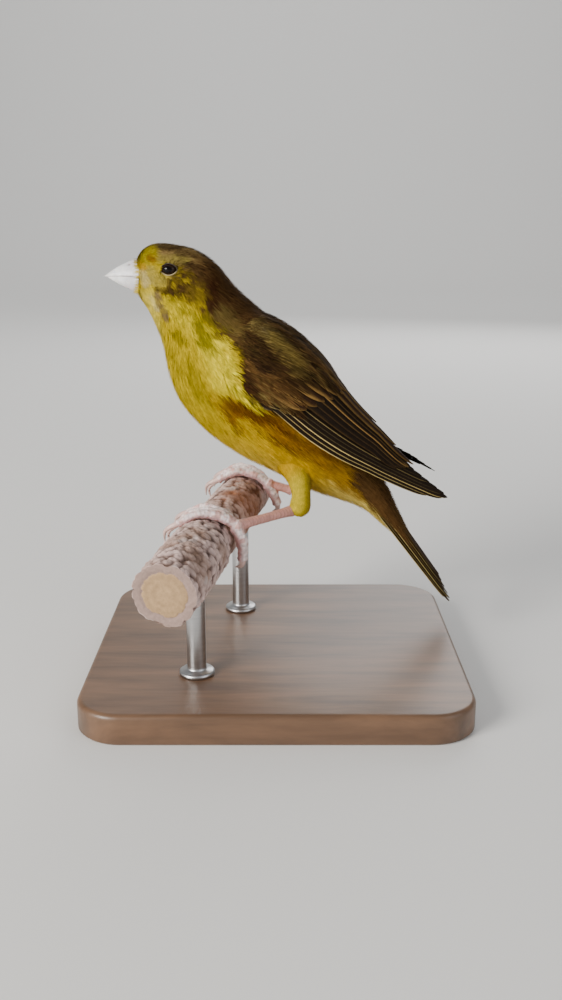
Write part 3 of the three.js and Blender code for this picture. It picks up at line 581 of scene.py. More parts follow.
def tube(path, radii, sides, over=None, side_hint=(0, 0, 1)):
    """Grid of points round a path, with a bulge added by over(share, angle)."""
    path = np.asarray(path, float)
    forward = unit(np.gradient(path, axis=0))
    hint = np.asarray(side_hint, float)
    up = unit(hint - (forward @ hint)[:, None] * forward)
    right = np.cross(forward, up)
    angle = np.linspace(0, 2 * math.pi, sides, endpoint=False)
    share = np.linspace(0, 1, len(path))
    size = np.asarray(radii, float)[:, None] * np.ones(sides)
    if over is not None:
        size = size + over(share[:, None], angle[None, :])
    ring = np.cos(angle)[None, :, None] * up[:, None] + np.sin(angle)[None, :, None] * right[:, None]
    return path[:, None] + size[..., None] * ring


def grid_faces(rows, columns, round_columns=True, start=0):
    index = start + np.arange(rows * columns).reshape(rows, columns)
    nxt = np.roll(index, -1, 1)
    if not round_columns:
        index, nxt = index[:, :-1], nxt[:, :-1]
    return np.stack([index[:-1], nxt[:-1], nxt[1:], index[1:]], -1).reshape(-1, 4)


def closed_tube(grid):
    """Points and faces of a tube whose two ends come together in one point each."""
    rows, sides = grid.shape[:2]
    points = np.concatenate([grid.reshape(-1, 3), [grid[0].mean(0)], [grid[-1].mean(0)]])
    first, last = rows * sides, rows * sides + 1
    ring = np.arange(sides)
    nxt = np.roll(ring, -1)
    caps = np.concatenate([
        np.stack([nxt, ring, np.full(sides, first)], -1),
        np.stack([ring, nxt, np.full(sides, 0)], -1) + [(rows - 1) * sides, (rows - 1) * sides, last],
    ])
    return points, [grid_faces(rows, sides), caps]


# Pieces and materials


def link(obj):
    bpy.context.scene.collection.objects.link(obj)
    return obj


def new_piece(name, points, faces, material, colours=None, uvs=None, own_frame=True, normals=None):
    """An object from points in the bird's millimetres and a list of face tables."""
    shift = PERCH_AT if own_frame else 0
    mesh = bpy.data.meshes.new(name)
    corners = [row for table in faces for row in table.tolist()]
    mesh.from_pydata((np.asarray(points) + shift) * MM, [], corners)
    mesh.polygons.foreach_set("use_smooth", np.ones(len(mesh.polygons), bool))
    if colours is not None:
        rgba = np.concatenate([colours, np.ones((len(colours), 1))], 1).astype(np.float32)
        layer = mesh.color_attributes.new("markings", "FLOAT_COLOR", "POINT")
        layer.data.foreach_set("color", rgba.ravel())
    if uvs is not None:
        corner = np.empty(len(mesh.loops), np.int32)
        mesh.loops.foreach_get("vertex_index", corner)
        layer = mesh.uv_layers.new(name="OFBake")
        layer.data.foreach_set("uv", np.asarray(uvs, np.float32)[corner].ravel())
    mesh.materials.append(material)
    mesh.update()
    if normals is not None:
        mesh.normals_split_custom_set_from_vertices(normals)
    piece = link(bpy.data.objects.new(name, mesh))
    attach(piece, "root")
    return piece


def base_material(name, roughness, **values):
    material = bpy.data.materials.new(name)
    material.use_nodes = True
    nodes = material.node_tree.nodes
    shader = nodes["Principled BSDF"]
    shader.inputs["Roughness"].default_value = roughness
    for socket, value in values.items():
        shader.inputs[socket.replace("_", " ")].default_value = value
    return material, nodes, material.node_tree.links, shader


def add_node(nodes, kind, **inputs):
    node = nodes.new(kind)
    for socket, value in inputs.items():
        node.inputs[socket.replace("_", " ")].default_value = value
    return node


def add_bump(material, height, strength, distance):
    nodes, links = material.node_tree.nodes, material.node_tree.links
    bump = add_node(nodes, "ShaderNodeBump", Strength=strength, Distance=distance)
    links.new(height, bump.inputs["Height"])
    links.new(bump.outputs["Normal"], nodes["Principled BSDF"].inputs["Normal"])


def marked_material(name, roughness, grain, shades, bump, **values):
    """The mesh's own markings under a fine grain.

    grain is the noise's scale, detail and roughness, shades its darkest and palest tone, and bump
    its strength and its depth in metres."""
    material, nodes, links, shader = base_material(name, roughness, **values)
    markings = nodes.new("ShaderNodeAttribute")
    markings.attribute_name = "markings"
    place = nodes.new("ShaderNodeTexCoord")
    fine = add_node(nodes, "ShaderNodeTexNoise", Scale=grain[0], Detail=grain[1], Roughness=grain[2])
    dark, pale = shades
    shade = add_node(nodes, "ShaderNodeMapRange", From_Min=0.3, From_Max=0.7, To_Min=dark, To_Max=pale)
    tone = nodes.new("ShaderNodeVectorMath")
    tone.operation = "SCALE"
    links.new(place.outputs["Object"], fine.inputs["Vector"])
    links.new(fine.outputs["Fac"], shade.inputs["Value"])
    links.new(markings.outputs["Color"], tone.inputs[0])
    links.new(shade.outputs["Result"], tone.inputs["Scale"])
    links.new(tone.outputs["Vector"], shader.inputs["Base Color"])
    add_bump(material, fine.outputs["Fac"], *bump)
    return material


def feather_material(name, roughness, gloss, fibre):
    """Feathers, whose grain is that of fine fibres."""
    return marked_material(
        name, roughness, (fibre, 4.0, 0.65), (0.8, 1.15), (0.25, 0.0002), Specular_IOR_Level=gloss
    )


def painted_material(name, grain, bump, distance, roughness, **values):
    """Skin, horn or crust."""
    return marked_material(name, roughness, (grain, 6.0, 0.7), (0.82, 1.12), (bump, distance), **values)


# Markings: the edge and middle colour of a small feather anywhere on the coat, with painted shade and light
# among them. Places in these tables are x and z in the side view, and each mark lies along a line from its
# start to its end.

# border of the dark upper side, from the bill to the tail, and on round over the back
DARK_BORDER = [
    (-24.5, 71.8), (-18, 70.6), (-12, 67.8), (-6.3, 64.3), (-5.3, 58), (-3.5, 53.6), (0.3, 51),
    (3.1, 48), (3.7, 44.6), (3.4, 40), (5.2, 36), (9.8, 32.2), (15.5, 28.4), (24.5, 23.3),
    (33.5, 17.0), (33.6, 9.4), (36.4, 5.6), (40.4, 1.2), (44.2, -3.8), (47, -11), (52, -20),
]
DARK_OVER = [(75, -20), (75, 30), (40, 85), (-20, 92), (-30, 80)]
# orange flank under the wing with painted shadow of the wing over it, bright patch in front of the wing and
# patch on the neck: start, end, width
FLANK_SHADOW_AND_TONE = [((4, 32.4), (16, 26), 3.4), ((14, 25), (31, 18.0), 3.4)]
SHOULDER_PATCH = [((-3.0, 48.5), (-0.5, 40), 4.6), ((-0.5, 40), (9, 32.9), 2.2)]
NECK_PATCH = [((-14.6, 59.2), (-9.5, 54), 3.4), ((-9.5, 54), (-5.5, 50), 3.0)]
# dark strokes on the flank under the wing: start, end, width and strength
FLANK_STROKES = [
    ((-4.4, 34.1), (-0.1, 30.2), 0.5, 0.7), ((-0.1, 30.2), (3.3, 24.2), 0.5, 0.7),
    ((-1.7, 32.4), (2.2, 28.1), 0.8, 0.8), ((2.5, 29.5), (5.5, 25.0), 0.5, 0.5),
    ((-1.7, 34.6), (3.1, 32.2), 1.0, 0.9), ((3.1, 32.0), (7.9, 28.9), 1.4, 0.95),
    ((8.7, 30.6), (15.9, 26.0), 1.5, 0.95), ((8.8, 25.3), (14.3, 22.5), 0.8, 0.8),
    ((14.3, 22.5), (18.2, 19.9), 0.9, 0.8), ((12.3, 28.2), (16.6, 24.7), 0.8, 0.7),
    ((16.6, 24.7), (19.8, 22.3), 0.8, 0.7), ((19.0, 21.2), (26.0, 19.9), 1.1, 0.85),
    ((26.0, 19.9), (32.5, 17.6), 1.3, 0.9), ((22.0, 18.0), (27.5, 15.5), 0.7, 0.5),
]
# soft olive shadows painted into the yellow of the neck and breast where its feathers fold: start, end, width
# and strength, and the share of red, green and blue that a painted shadow of full strength takes away
BREAST_FOLD_SHADOWS = [
    ((-14.5, 51.3), (-11.8, 48.9), 1.5, 0.55), ((-7.5, 53.9), (-6.4, 49.2), 1.6, 0.7),
    ((-4.8, 49.5), (-2.8, 46.5), 1.1, 0.6), ((-5.0, 55.9), (-1.6, 51.6), 1.8, 0.75),
    ((-9.6, 40.8), (-6.5, 33.6), 2.4, 0.35), ((-10.5, 46.5), (-9.3, 42.5), 1.0, 0.35),
    ((-15.5, 46), (-13.0, 40.5), 1.2, 0.3), ((-12.5, 57.5), (-8.5, 56.0), 1.0, 0.45),
]
OLIVE_LOSS = [0.9, 0.88, 0.6]
# marks of the head: colour, start, end, width, strength, and how bright the feathers' middles are
HEAD_MARKS = [
    ((0.16, 0.115, 0.03), (-1.2, 56.8), (2.7, 52.4), 2.6, 0.7, 0.6),
    ((0.085, 0.044, 0.012), (-12.8, 63.6), (-5.5, 62.2), 4.4, 0.95, 0.6),
    ((0.31, 0.24, 0.05), (-18.5, 71.0), (-11.0, 70.6), 1.2, 0.85, 0.8),
    ((0.40, 0.31, 0.06), (-20.5, 67.0), (-18.0, 64.8), 2.4, 0.85, 0.85),
    ((0.62, 0.50, 0.19), (-22.6, 67.0), (-21.7, 64.4), 1.5, 0.75, 0.85),
    ((0.08, 0.042, 0.012), (-12.4, 67.3), (-6.5, 65.4), 0.7, 0.8, 0.7),
    ((0.09, 0.05, 0.014), (-11.0, 66.3), (-6.9, 63.9), 0.6, 0.7, 0.7),
    ((0.05, 0.024, 0.008), (-18.6, 62.8), (-10.4, 61.2), 1.1, 0.75, 0.7),
    ((0.22, 0.15, 0.06), (-18.8, 61.2), (-16.3, 54.6), 1.2, 1.0, 0.8),
    ((0.66, 0.55, 0.24), (-20.4, 60.6), (-19.0, 57.4), 0.7, 0.7, 0.9),
    # the dark band down the side of the neck: partly the border of the dark plumage, partly painted shade
    ((0.045, 0.016, 0.006), (-3.4, 64.8), (-3.8, 58.6), 1.7, 1.0, 0.8),
    ((0.05, 0.026, 0.009), (-13.3, 71.9), (-7.4, 71.2), 0.5, 0.8, 0.8),
    ((0.05, 0.026, 0.009), (-10.5, 69.7), (-4.8, 68.3), 0.5, 0.8, 0.8),
    ((0.06, 0.03, 0.01), (-17.0, 73.0), (-12.0, 73.6), 0.5, 0.7, 0.8),
]
RUST = np.array([0.50, 0.28, 0.01])
BROW = np.array([0.26, 0.12, 0.004])
# marks of the wing's arm and the shoulder: colour, start, end, width and strength
ARM_MARKS = [
    ((0.33, 0.24, 0.07), (7.0, 54.2), (13.0, 50.0), 2.0, 0.8),
    ((0.27, 0.19, 0.045), (13.0, 50.0), (19.4, 42.3), 2.3, 0.7),
    ((0.12, 0.06, 0.015), (4.0, 48.6), (4.9, 41.3), 1.8, 0.7),
    ((0.05, 0.02, 0.007), (4.9, 41.3), (7.4, 35.2), 1.9, 0.8),
    ((0.016, 0.008, 0.005), (8.2, 44.4), (11.2, 42.6), 1.5, 0.8),
    ((0.06, 0.028, 0.009), (15, 40), (23, 34), 2.4, 0.6),
]


def dark_side(points):
    """Signed distance in the side view to the border of the dark upper side, positive inside it."""
    p = points[..., [0, 2]]
    border = np.array(DARK_BORDER, float)
    distance = np.full(p.shape[:-1], 99.0)
    for a, b in zip(border[:-1], border[1:]):
        share = np.clip(((p - a) @ (b - a)) / ((b - a) @ (b - a)), 0, 1)
        distance = np.minimum(distance, np.linalg.norm(p - a - share[..., None] * (b - a), axis=-1))
    ring = np.array(DARK_BORDER + DARK_OVER, float)
    inside = np.zeros(p.shape[:-1], bool)
    for a, b in zip(ring, np.roll(ring, -1, 0)):
        crosses = (a[1] > p[..., 1]) != (b[1] > p[..., 1])
        at = a[0] + (p[..., 1] - a[1]) / np.where(b[1] == a[1], 1e-9, b[1] - a[1]) * (b[0] - a[0])
        inside ^= crosses & (p[..., 0] < at)
    return np.where(inside, distance, -distance)


class Shades:
    """The edge and middle colour of each feather, with further colours laid over them in turn."""

    def __init__(self, edge, core):
        self.edge, self.core = edge, core

    def lay(self, edge, core, share, core_share=None):
        self.edge = blend_colours(self.edge, edge, share)
        self.core = blend_colours(self.core, core, share if core_share is None else core_share)

    def scale(self, factor):
        self.edge, self.core = self.edge * factor, self.core * factor


def yellow_shades(points, t, theta, tones, noise):
    """Throat, breast, belly, flanks and vent, before the dark upper side is laid over them."""
    x, z = points[..., 0], points[..., 2]
    up = np.sin(theta)
    edge = blend_colours(tones.breast, tones.breast * 0.82, smooth(noise.mottle, 0.35, 0.75))
    edge = edge * (0.84 + 0.24 * smooth(noise.broad, 0.3, 0.7))[..., None]
    coat = Shades(edge, blend_colours(tones.breast_shade, tones.breast, np.full(t.shape, 0.5)))
    coat.lay(tones.belly, tones.belly * 0.86, smooth(t, 7.0, 10.5))
    coat.lay(tones.vent, tones.vent * 0.85, smooth(-up, 0.1, 0.6) * smooth(t, 10.6, 12.2))
    # painted light: a pale rim along the belly's lower edge, as if lit from below
    lit_low_edge = smooth(-up, 0.5, 0.92) * smooth(t, 7.8, 9.6) * (1 - smooth(t, 11.0, 12.5))
    coat.lay([0.84, 0.63, 0.09], [0.74, 0.52, 0.06], lit_low_edge * 0.75, lit_low_edge * 0.7)

    facing = up < 0.8
    # the flank under the wing takes a darker orange: partly its own colour, partly painted shadow of the wing
    orange = tones.belly * [0.48, 0.33, 0.9]
    coat.lay(orange, orange * 0.72, near_lines(points, FLANK_SHADOW_AND_TONE) * facing * 0.85)
    a, phi = wing_place(points)
    strokes = value_noise(np.stack([a / 9, phi / 5.5, 0 * a], -1), 1.0, 4)
    flank = near_line(points, (1, 33), (29, 18), 5.0) * smooth(strokes, 0.42, 0.56) * facing
    coat.lay(tones.flank_streak * 1.4, tones.flank_streak, flank * 0.7, flank * 0.8)
    for start, end, width, amount in FLANK_STROKES:
        stroke = near_line(points, start, end, width) * facing * amount
        coat.lay(tones.flank_streak * 0.9, tones.flank_streak * 0.6, stroke * 0.9, stroke)
    sides = smooth(t, 10.2, 11.8) * smooth(up, -0.65, -0.3)
    coat.lay(tones.belly * [0.56, 0.46, 0.8], tones.belly * [0.4, 0.3, 0.6], sides * 0.85, sides * 0.8)
    thin = near_line(points, (-8, 34), (10, 20), 4.5) * smooth(noise.streaks, 0.55, 0.7)
    coat.core = blend_colours(coat.core, tones.flank_streak * 2.0, thin * 0.35)

    coat.lay(tones.shoulder, tones.shoulder * 0.82, near_lines(points, SHOULDER_PATCH))
    throat = smooth(-x, 17.0, 20.0) * smooth(66 - z, 2, 5) * 0.7
    coat.lay(tones.shoulder * 1.04 + [0.0, 0.02, 0.10], tones.shoulder * 0.9 + [0.0, 0.0, 0.06], throat)
    patch = near_lines(points, NECK_PATCH)
    coat.lay(tones.shoulder * 0.82, tones.breast_shade * 1.2, patch * 0.8, patch * 0.5)
    # painted shadows in the folds of the neck and breast, laid last so that they darken every colour under
    # them
    for start, end, width, amount in BREAST_FOLD_SHADOWS:
        olive = near_line(points, start, end, width) * facing * amount
        coat.scale(1 - olive[..., None] * OLIVE_LOSS)
    return coat


def dark_shades(t, theta, tones, noise):
    """Back, nape and crown."""
    pale = 0.15 + 0.5 * smooth(noise.mottle, 0.5, 0.8)
    edge = blend_colours(tones.back, tones.covert_edge, pale)
    core = blend_colours(tones.back_streak, tones.back, smooth(noise.streaks, 0.45, 0.8) * 0.7)
    nape = smooth(t, 3.6, 5.6) * (1 - smooth(t, 7.4, 8.6)) * smooth(np.sin(theta), 0.45, 0.9)
    coat = Shades(blend_colours(edge, tones.back * 0.7, nape * 0.8), core)
    crown = 1 - smooth(t, 3.2, 5.0)
    crown_edge = tones.crown * (0.55 + 0.8 * smooth(noise.streaks, 0.4, 0.62))[..., None]
    coat.lay(crown_edge, tones.crown_streak, crown)
    coat.core = blend_colours(coat.core, tones.crown, crown * smooth(noise.streaks, 0.42, 0.6) * 0.85)
    return coat


def mark_head(coat, points, tones):
    """Lay the marks of the head over its feathers, and the bright forehead after them."""
    broken = 0.5 + 0.8 * value_noise(points, 1.1, 24)
    for colour, start, end, width, amount, middle in HEAD_MARKS:
        share = np.clip(near_line(points, start, end, width) * amount * broken, 0, 1)
        coat.lay(colour, np.asarray(colour) * middle, share)
    forehead = near_line(points, (-24.4, 70.6), (-20.6, 72.0), 2.6)
    coat.lay(tones.forehead, tones.forehead * 0.85, forehead)
    coat.lay(RUST, RUST * 0.85, near_line(points, (-23.2, 69.2), (-22.2, 68.6), 1.1) * 0.7)
    beside = smooth(np.abs(points[..., 1]), 1.5, 3.5)
    coat.lay(BROW, BROW * 0.8, near_line(points, (-20.4, 71.0), (-19.6, 70.5), 1.15) * beside * 0.85)


def markings(points, t, theta, tones):
    """Edge colour and middle colour of the feathers at points of the coat."""
    noise = SimpleNamespace(
        streaks=value_noise(np.stack([t * 5.5 / 8, theta * 9.0 / 1.5, 0 * t], -1), 1.0, 3),
        mottle=value_noise(points, 2.6, 5),
        broad=value_noise(points, 7.0, 8),
    )
    coat = yellow_shades(points, t, theta, tones, noise)
    neck = near_line(points, (-5.6, 61), (1.0, 50.5), 4.5)
    ragged = (noise.broad - 0.5) * 1.6 + neck * (value_noise(points, 1.7, 26) - 0.45) * 6.0
    over = dark_shades(t, theta, tones, noise)
    coat.lay(over.edge, over.core, smooth(dark_side(points) + ragged, -0.8, 1.2))
    head = 1 - smooth(t, 4.0, 6.0)
    flecks = value_noise(points * [0.6, 1, 1], 0.8, 14) - 0.5
    coat.scale(1 + head[..., None] * 0.7 * flecks[..., None])
    mark_head(coat, points, tones)
    return np.clip(coat.edge, 0, 1), np.clip(coat.core, 0, 1)


# Small feathers: each is a fan of narrow blades that lies along a surface


def scatter(surface, per_area, rng):
    """Rows and columns of evenly spread roots, per_area of them in each square millimetre."""
    counts = surface.cell_areas() * per_area
    flow = np.cumsum(counts.ravel())
    places = np.arange(0.5, flow[-1], 1.0)
    places = places + rng.uniform(-0.45, 0.45, len(places))
    cell = np.searchsorted(flow, np.clip(places, 0, flow[-1] - 1e-6))
    i, j = np.unravel_index(cell, counts.shape)
    return i + rng.uniform(0, 1, len(i)), j + rng.uniform(0, 1, len(j))


def feathers(name, surface, spec, material, rng):
    """One piece of small feathers, each a fan of blades.

    spec holds arrays with a value for each feather, the number of blades, and single values that
    the whole piece shares."""
    u, v, length, width = spec["u"], spec["v"], spec["length"], spec["width"]
    blades, rows = spec["blades"], spec.get("rows", 2)
    count = len(u)
    direction = spec["direction"]
    normal = surface.read(surface.normal, u, v)
    direction = unit(direction - (direction * normal).sum(-1, keepdims=True) * normal)
    turn = np.radians(rng.normal(0, spec.get("ruffle", 7), count))[:, None]
    across = np.cross(normal, direction)
    direction, across = (
        direction * np.cos(turn) + across * np.sin(turn), across * np.cos(turn) - direction * np.sin(turn)
    )
    along_u, along_v = surface.steps(u, v, direction)
    across_u, across_v = surface.steps(u, v, across)

    place = (np.arange(blades) - (blades - 1) / 2) / max((blades - 1) / 2, 1)
    place = place[None, :] + rng.normal(0, 0.25 / blades, (count, blades))
    reach = 1 - 0.38 * place**2 + rng.normal(0, spec.get("ragged", 0.1), (count, blades))
    share = np.linspace(0, 1, rows + 1)
    fan = ramp([[0, 0.35], [0.55, 1.0], [1, 0.84]], share)
    half = ramp([[0, 0.8], [0.45, 1.0], [0.8, 0.75], [1, 0.0]], share) * spec.get("blade_width", 0.95)

    jitter = rng.uniform(0, 1, count) * spec.get("loose", 0.12)

    def lay(sideways):
        """Points of one edge line of every blade: feathers, blades, rows."""
        far = length[:, None, None] * reach[..., None] * share
        wide = width[:, None, None] / 2 * (place[..., None] * fan + sideways * half / blades * 1.15)
        uu = u[:, None, None] + far * along_u[:, None, None] + wide * across_u[:, None, None]
        vv = v[:, None, None] + far * along_v[:, None, None] + wide * across_v[:, None, None]
        depth, lift = spec["depth"][:, None, None], spec["lift"][:, None, None]
        height = -depth * (1 - share) ** 1.3 + lift * share**1.6 + jitter[:, None, None] * share
        height = height - spec.get("camber", 0.09) * place[..., None] ** 2 * width[:, None, None]
        outward = surface.read(surface.normal, uu, vv)
        return surface.read(surface.grid, uu, vv) + height[..., None] * outward, outward

    def pair(left, right):
        """Both edge lines of every blade in turn, row by row, up to the tip that they share."""
        beside = np.stack([left[:, :, :-1], right[:, :, :-1]], 3).reshape(count, blades, rows * 2, 3)
        return np.concatenate([beside, right[:, :, -1:]], 2)

    points, outward = (pair(left, right) for left, right in zip(lay(-1.0), lay(1.0)))
    each = rows * 2 + 1
    sway = spec.get("round", 0.3) * place + rng.normal(0, spec.get("glint", 0.09), (count, blades))
    normals = unit(outward + (across[:, None] * sway[..., None])[:, :, None])
    start = np.arange(count * blades)[:, None, None] * each
    step = np.arange(rows - 1)[None, :, None] * 2
    quads = (start + step + np.array([0, 2, 3, 1])).reshape(-1, 4)
    ends = (start[:, 0] + (rows - 1) * 2 + np.array([0, 2, 1])).reshape(-1, 3)

    edge, core = spec["edge"][:, None, None], spec["core"][:, None, None]
    row_share = np.append(np.repeat(share[:-1], 2), 1.0)[None, None, :, None]
    rim = np.clip(np.abs(place), 0, 1)[..., None, None] ** spec.get("streak", 1.5)
    rim = np.maximum(rim, smooth(row_share, spec.get("tip_start", 0.62), 1.0) * spec.get("tip", 0.9))
    colours = core + (edge - core) * rim
    # blades darken towards their roots: partly the feathers' greyer bases, partly painted shade under the
    # feathers that lie over them
    shade = spec.get("root_shade", 0.85)
    colours = colours * (shade + (1 - shade) * smooth(row_share, 0.05, 0.6))
    colours = colours * (1 + rng.normal(0, spec.get("fleck", 0.09), (count, blades))[..., None, None])
    colours = colours * (1 + rng.normal(0, spec.get("own_tone", 0.04), count))[:, None, None, None]

    patch = 0.0015  # half the side of a blade's square in the bake map
    home_u, home_v = u / surface.rows, v / surface.columns
    uv_across = home_v[:, None, None] + patch * np.clip(place, -1, 1)[..., None] + 0 * row_share[..., 0]
    uv_along = home_u[:, None, None] + patch * (2 * row_share[..., 0] - 1) + 0 * place[..., None]
    uvs = np.clip(np.stack([uv_across, uv_along], -1), 0, 1)
    return new_piece(
        name, points.reshape(-1, 3), [quads, ends], material, np.clip(colours, 0, 1).reshape(-1, 3),
        uvs.reshape(-1, 2), normals=normals.reshape(-1, 3),
    )


# Vanes of wing and tail


# columns of a vane's mesh: shares of its width, close together at the edges and beside the shaft
VANE_COLUMNS = np.array([-0.5, -0.46, -0.4, -0.28, -0.1, -0.03, 0.0, 0.03, 0.12, 0.3, 0.44, 0.5])


def vane_mesh(place_at, rows, point, taper, thickness, colour_at):
    """A closed curved vane. place_at(across, along, over) gives its points."""
    along = 1 - (1 - np.linspace(0, 1, rows)) ** 1.5
    narrow = np.clip(1 - (np.maximum(along - point, 0) / (1.001 - point)) ** 2, 0, 1) ** taper
    widths = (0.62 + 0.38 * smooth(along, 0, 0.35)) * np.maximum(narrow, 0.04)
    s, a = np.meshgrid(VANE_COLUMNS, along, indexing="xy")
    shaft = np.exp(-((s / 0.035) ** 2)) * (1 - 0.7 * a)
    slim = np.where(a > 0.99, 0.3, 1.0) * thickness
    bow = 0.16 * (1 - (2 * s) ** 2)
    wide = s * widths[:, None]
    top = place_at(wide, a, bow + slim / 2 + 0.14 * shaft)
    low = place_at(wide, a, bow - slim / 2)
    points = np.concatenate([top.reshape(-1, 3), low.reshape(-1, 3)])
    count = len(VANE_COLUMNS)
    faces = grid_faces(rows, count, False)
    under = faces[:, ::-1] + rows * count
    index = np.arange(rows * count).reshape(rows, count)
    rim = np.concatenate([index[0, :-1], index[:-1, -1], index[-1, :0:-1], index[:0:-1, 0]])
    nxt = np.roll(rim, -1)
    walls = np.stack([nxt, rim, rim + rows * count, nxt + rows * count], -1)
    colours = colour_at(s, a, shaft)
    return points, np.concatenate([faces, under, walls]), np.concatenate([colours.reshape(-1, 3)] * 2)


def vane_colours(tier, tones, number, i, flip=False):
    """Colour over a vane: dark web, pale outer edge, paler shaft and tip."""
    web = getattr(tones, tier["web"])
    paleness = tier["edges"][i]
    edge = mix(web, getattr(tones, tier["edge"]), min(paleness, 1.0)) * max(paleness, 1.0)
    seed = number * 20 + i

    def colour_at(s, a, shaft):
        outer = -s if not flip else s
        noise_at = np.stack([s * 9, a * 40, np.full_like(s, seed * 3.7)], -1)
        barbs = value_noise(noise_at, 1.0, 11)
        start = 0.5 - tier["edge_share"] * (1.0 + 0.5 * (barbs - 0.5))
        rim = smooth(outer, start, 0.5 - tier["edge_share"] * 0.4)
        along = value_noise(np.stack([0 * s, a * 7, np.full_like(s, seed * 1.9)], -1), 1.0, 13)
        rim = rim * smooth(a, 0.05, 0.25) * (1 - 0.3 * smooth(a, 0.8, 1.0)) * (0.65 + 0.5 * along)
        tip = smooth(a, 0.93, 1.0) * tier["tip"]
        colour = blend_colours(web * (0.8 + 0.5 * barbs[..., None]), edge, np.maximum(rim, tip))
        colour = blend_colours(colour, web * 2.5, np.clip(shaft, 0, 1) * 0.5)
        return np.clip(colour * (0.9 + 0.2 * value_noise(noise_at, 0.35, 12)[..., None]), 0, 1)

    return colour_at


def join_meshes(parts):
    """Points, faces and colours of many vanes as one."""
    offset, points, faces, colours = 0, [], [], []
    for p, f, c in parts:
        points.append(p)
        faces.append(f + offset)
        colours.append(c)
        offset += len(p)
    return np.concatenate(points), np.concatenate(faces), np.concatenate(colours)


def vane_atlas(parts, columns):
    """A bake map in which each vane has a cell of its own, top and underside side by side."""
    uvs = []
    rows = math.ceil(len(parts) / columns)
    for n, (points, _, _) in enumerate(parts):
        half = len(points) // 2
        wide = len(VANE_COLUMNS)
        i, j = np.divmod(np.arange(half), wide)
        u, v = j / (wide - 1), i / (half // wide - 1)
        for flip in (0, 1):
            cell_u = (n % columns + 0.04 + (0.48 * flip) + 0.42 * u) / columns
            cell_v = (n // columns + 0.04 + 0.92 * v) / rows
            uvs.append(np.stack([cell_u, cell_v], -1))
    return np.concatenate(uvs)


def wing_tiers(side):
    if side < 0:
        return WING_TIERS
    inner = [
        {**tier, "ends": [end - RIGHT_CUT for end in tier["ends"]]} for tier in (SECONDARIES, TERTIALS)
    ]
    return [{**PRIMARIES, **RIGHT_PRIMARIES}, *inner, PRIMARY_COVERTS, GREATER_COVERTS]


def wing_vanes(side, reach, sizes, tones):
    parts = []
    for number, tier in enumerate(wing_tiers(side)):
        for i, end in enumerate(tier["ends"]):
            def place_at(wide, a, over, tier=tier, i=i, end=end):
                along = mix(tier["start"], end, a)
                offset = wide * tier["overlap"]
                phi = ramp(tier["low"], along) + (i + offset) * ramp(tier["pitch"], along)
                lift = ramp(tier["lift"], along) - tier["step"] * offset
                return wing_point(side, along, phi, lift + over, reach)

            colour_at = vane_colours(tier, tones, number, i)
            rows = sizes.vane_rows if end > 40 else sizes.vane_rows * 2 // 3
            thick = sizes.vane_thickness / MM
            parts.append(vane_mesh(place_at, rows, tier["point"], tier["taper"], thick, colour_at))
    return parts


def tail_vanes(sizes, tones):
    parts = []
    for (side, _), ends in zip(SIDES, TAIL_ENDS):
        roll = math.radians(TAIL_ROLL)
        across = np.array([0, side * math.cos(roll), 0]) - TAIL_UP * math.sin(roll)
        outward = np.array([0, side * math.sin(roll), 0]) + TAIL_UP * math.cos(roll)
        for i, end in enumerate(ends):
            def place_at(wide, a, over, i=i, end=end, side=side, across=across, outward=outward):
                far = mix(TAIL_START, end, a)
                middle = mix(0.04 + 0.2 * i, 0.05 + 0.4 * i, a) + mix(2.1, 1.6, a)
                high = mix(0.8, 0.4, a) - mix(0.8, 0.44, a) * i
                base = TAIL_ROOT + far[..., None] * TAIL_AXIS + high[..., None] * TAIL_UP
                base = base + (side * middle)[..., None] * np.array([0, 1, 0])
                return base + (wide * mix(*TAIL_WIDTHS, a))[..., None] * across + over[..., None] * outward

            colour_at = vane_colours(TAIL_VANE, tones, 20 + side, i, flip=True)
            thick = sizes.vane_thickness / MM
            parts.append(vane_mesh(place_at, sizes.vane_rows, 0.86, 0.7, thick, colour_at))
    return parts


class Shared:
    """What several operators share, worked out once."""

    reach = None
    coat = None
    materials = {}

    @classmethod
    def prepare(cls):
        if cls.reach is None:
            cls.reach = reach_table()
            cls.coat = coat_surface(cls.reach)

    @classmethod
    def material(cls, name, make):
        if name not in cls.materials:
            cls.materials[name] = make()
        return cls.materials[name]


def coat_material():
    return Shared.material("small_feathers", lambda: feather_material("small_feathers", 0.85, 0.04, 900.0))


def vane_material():
    return Shared.material("flight_feathers", lambda: feather_material("flight_feathers", 0.7, 0.05, 1400.0))


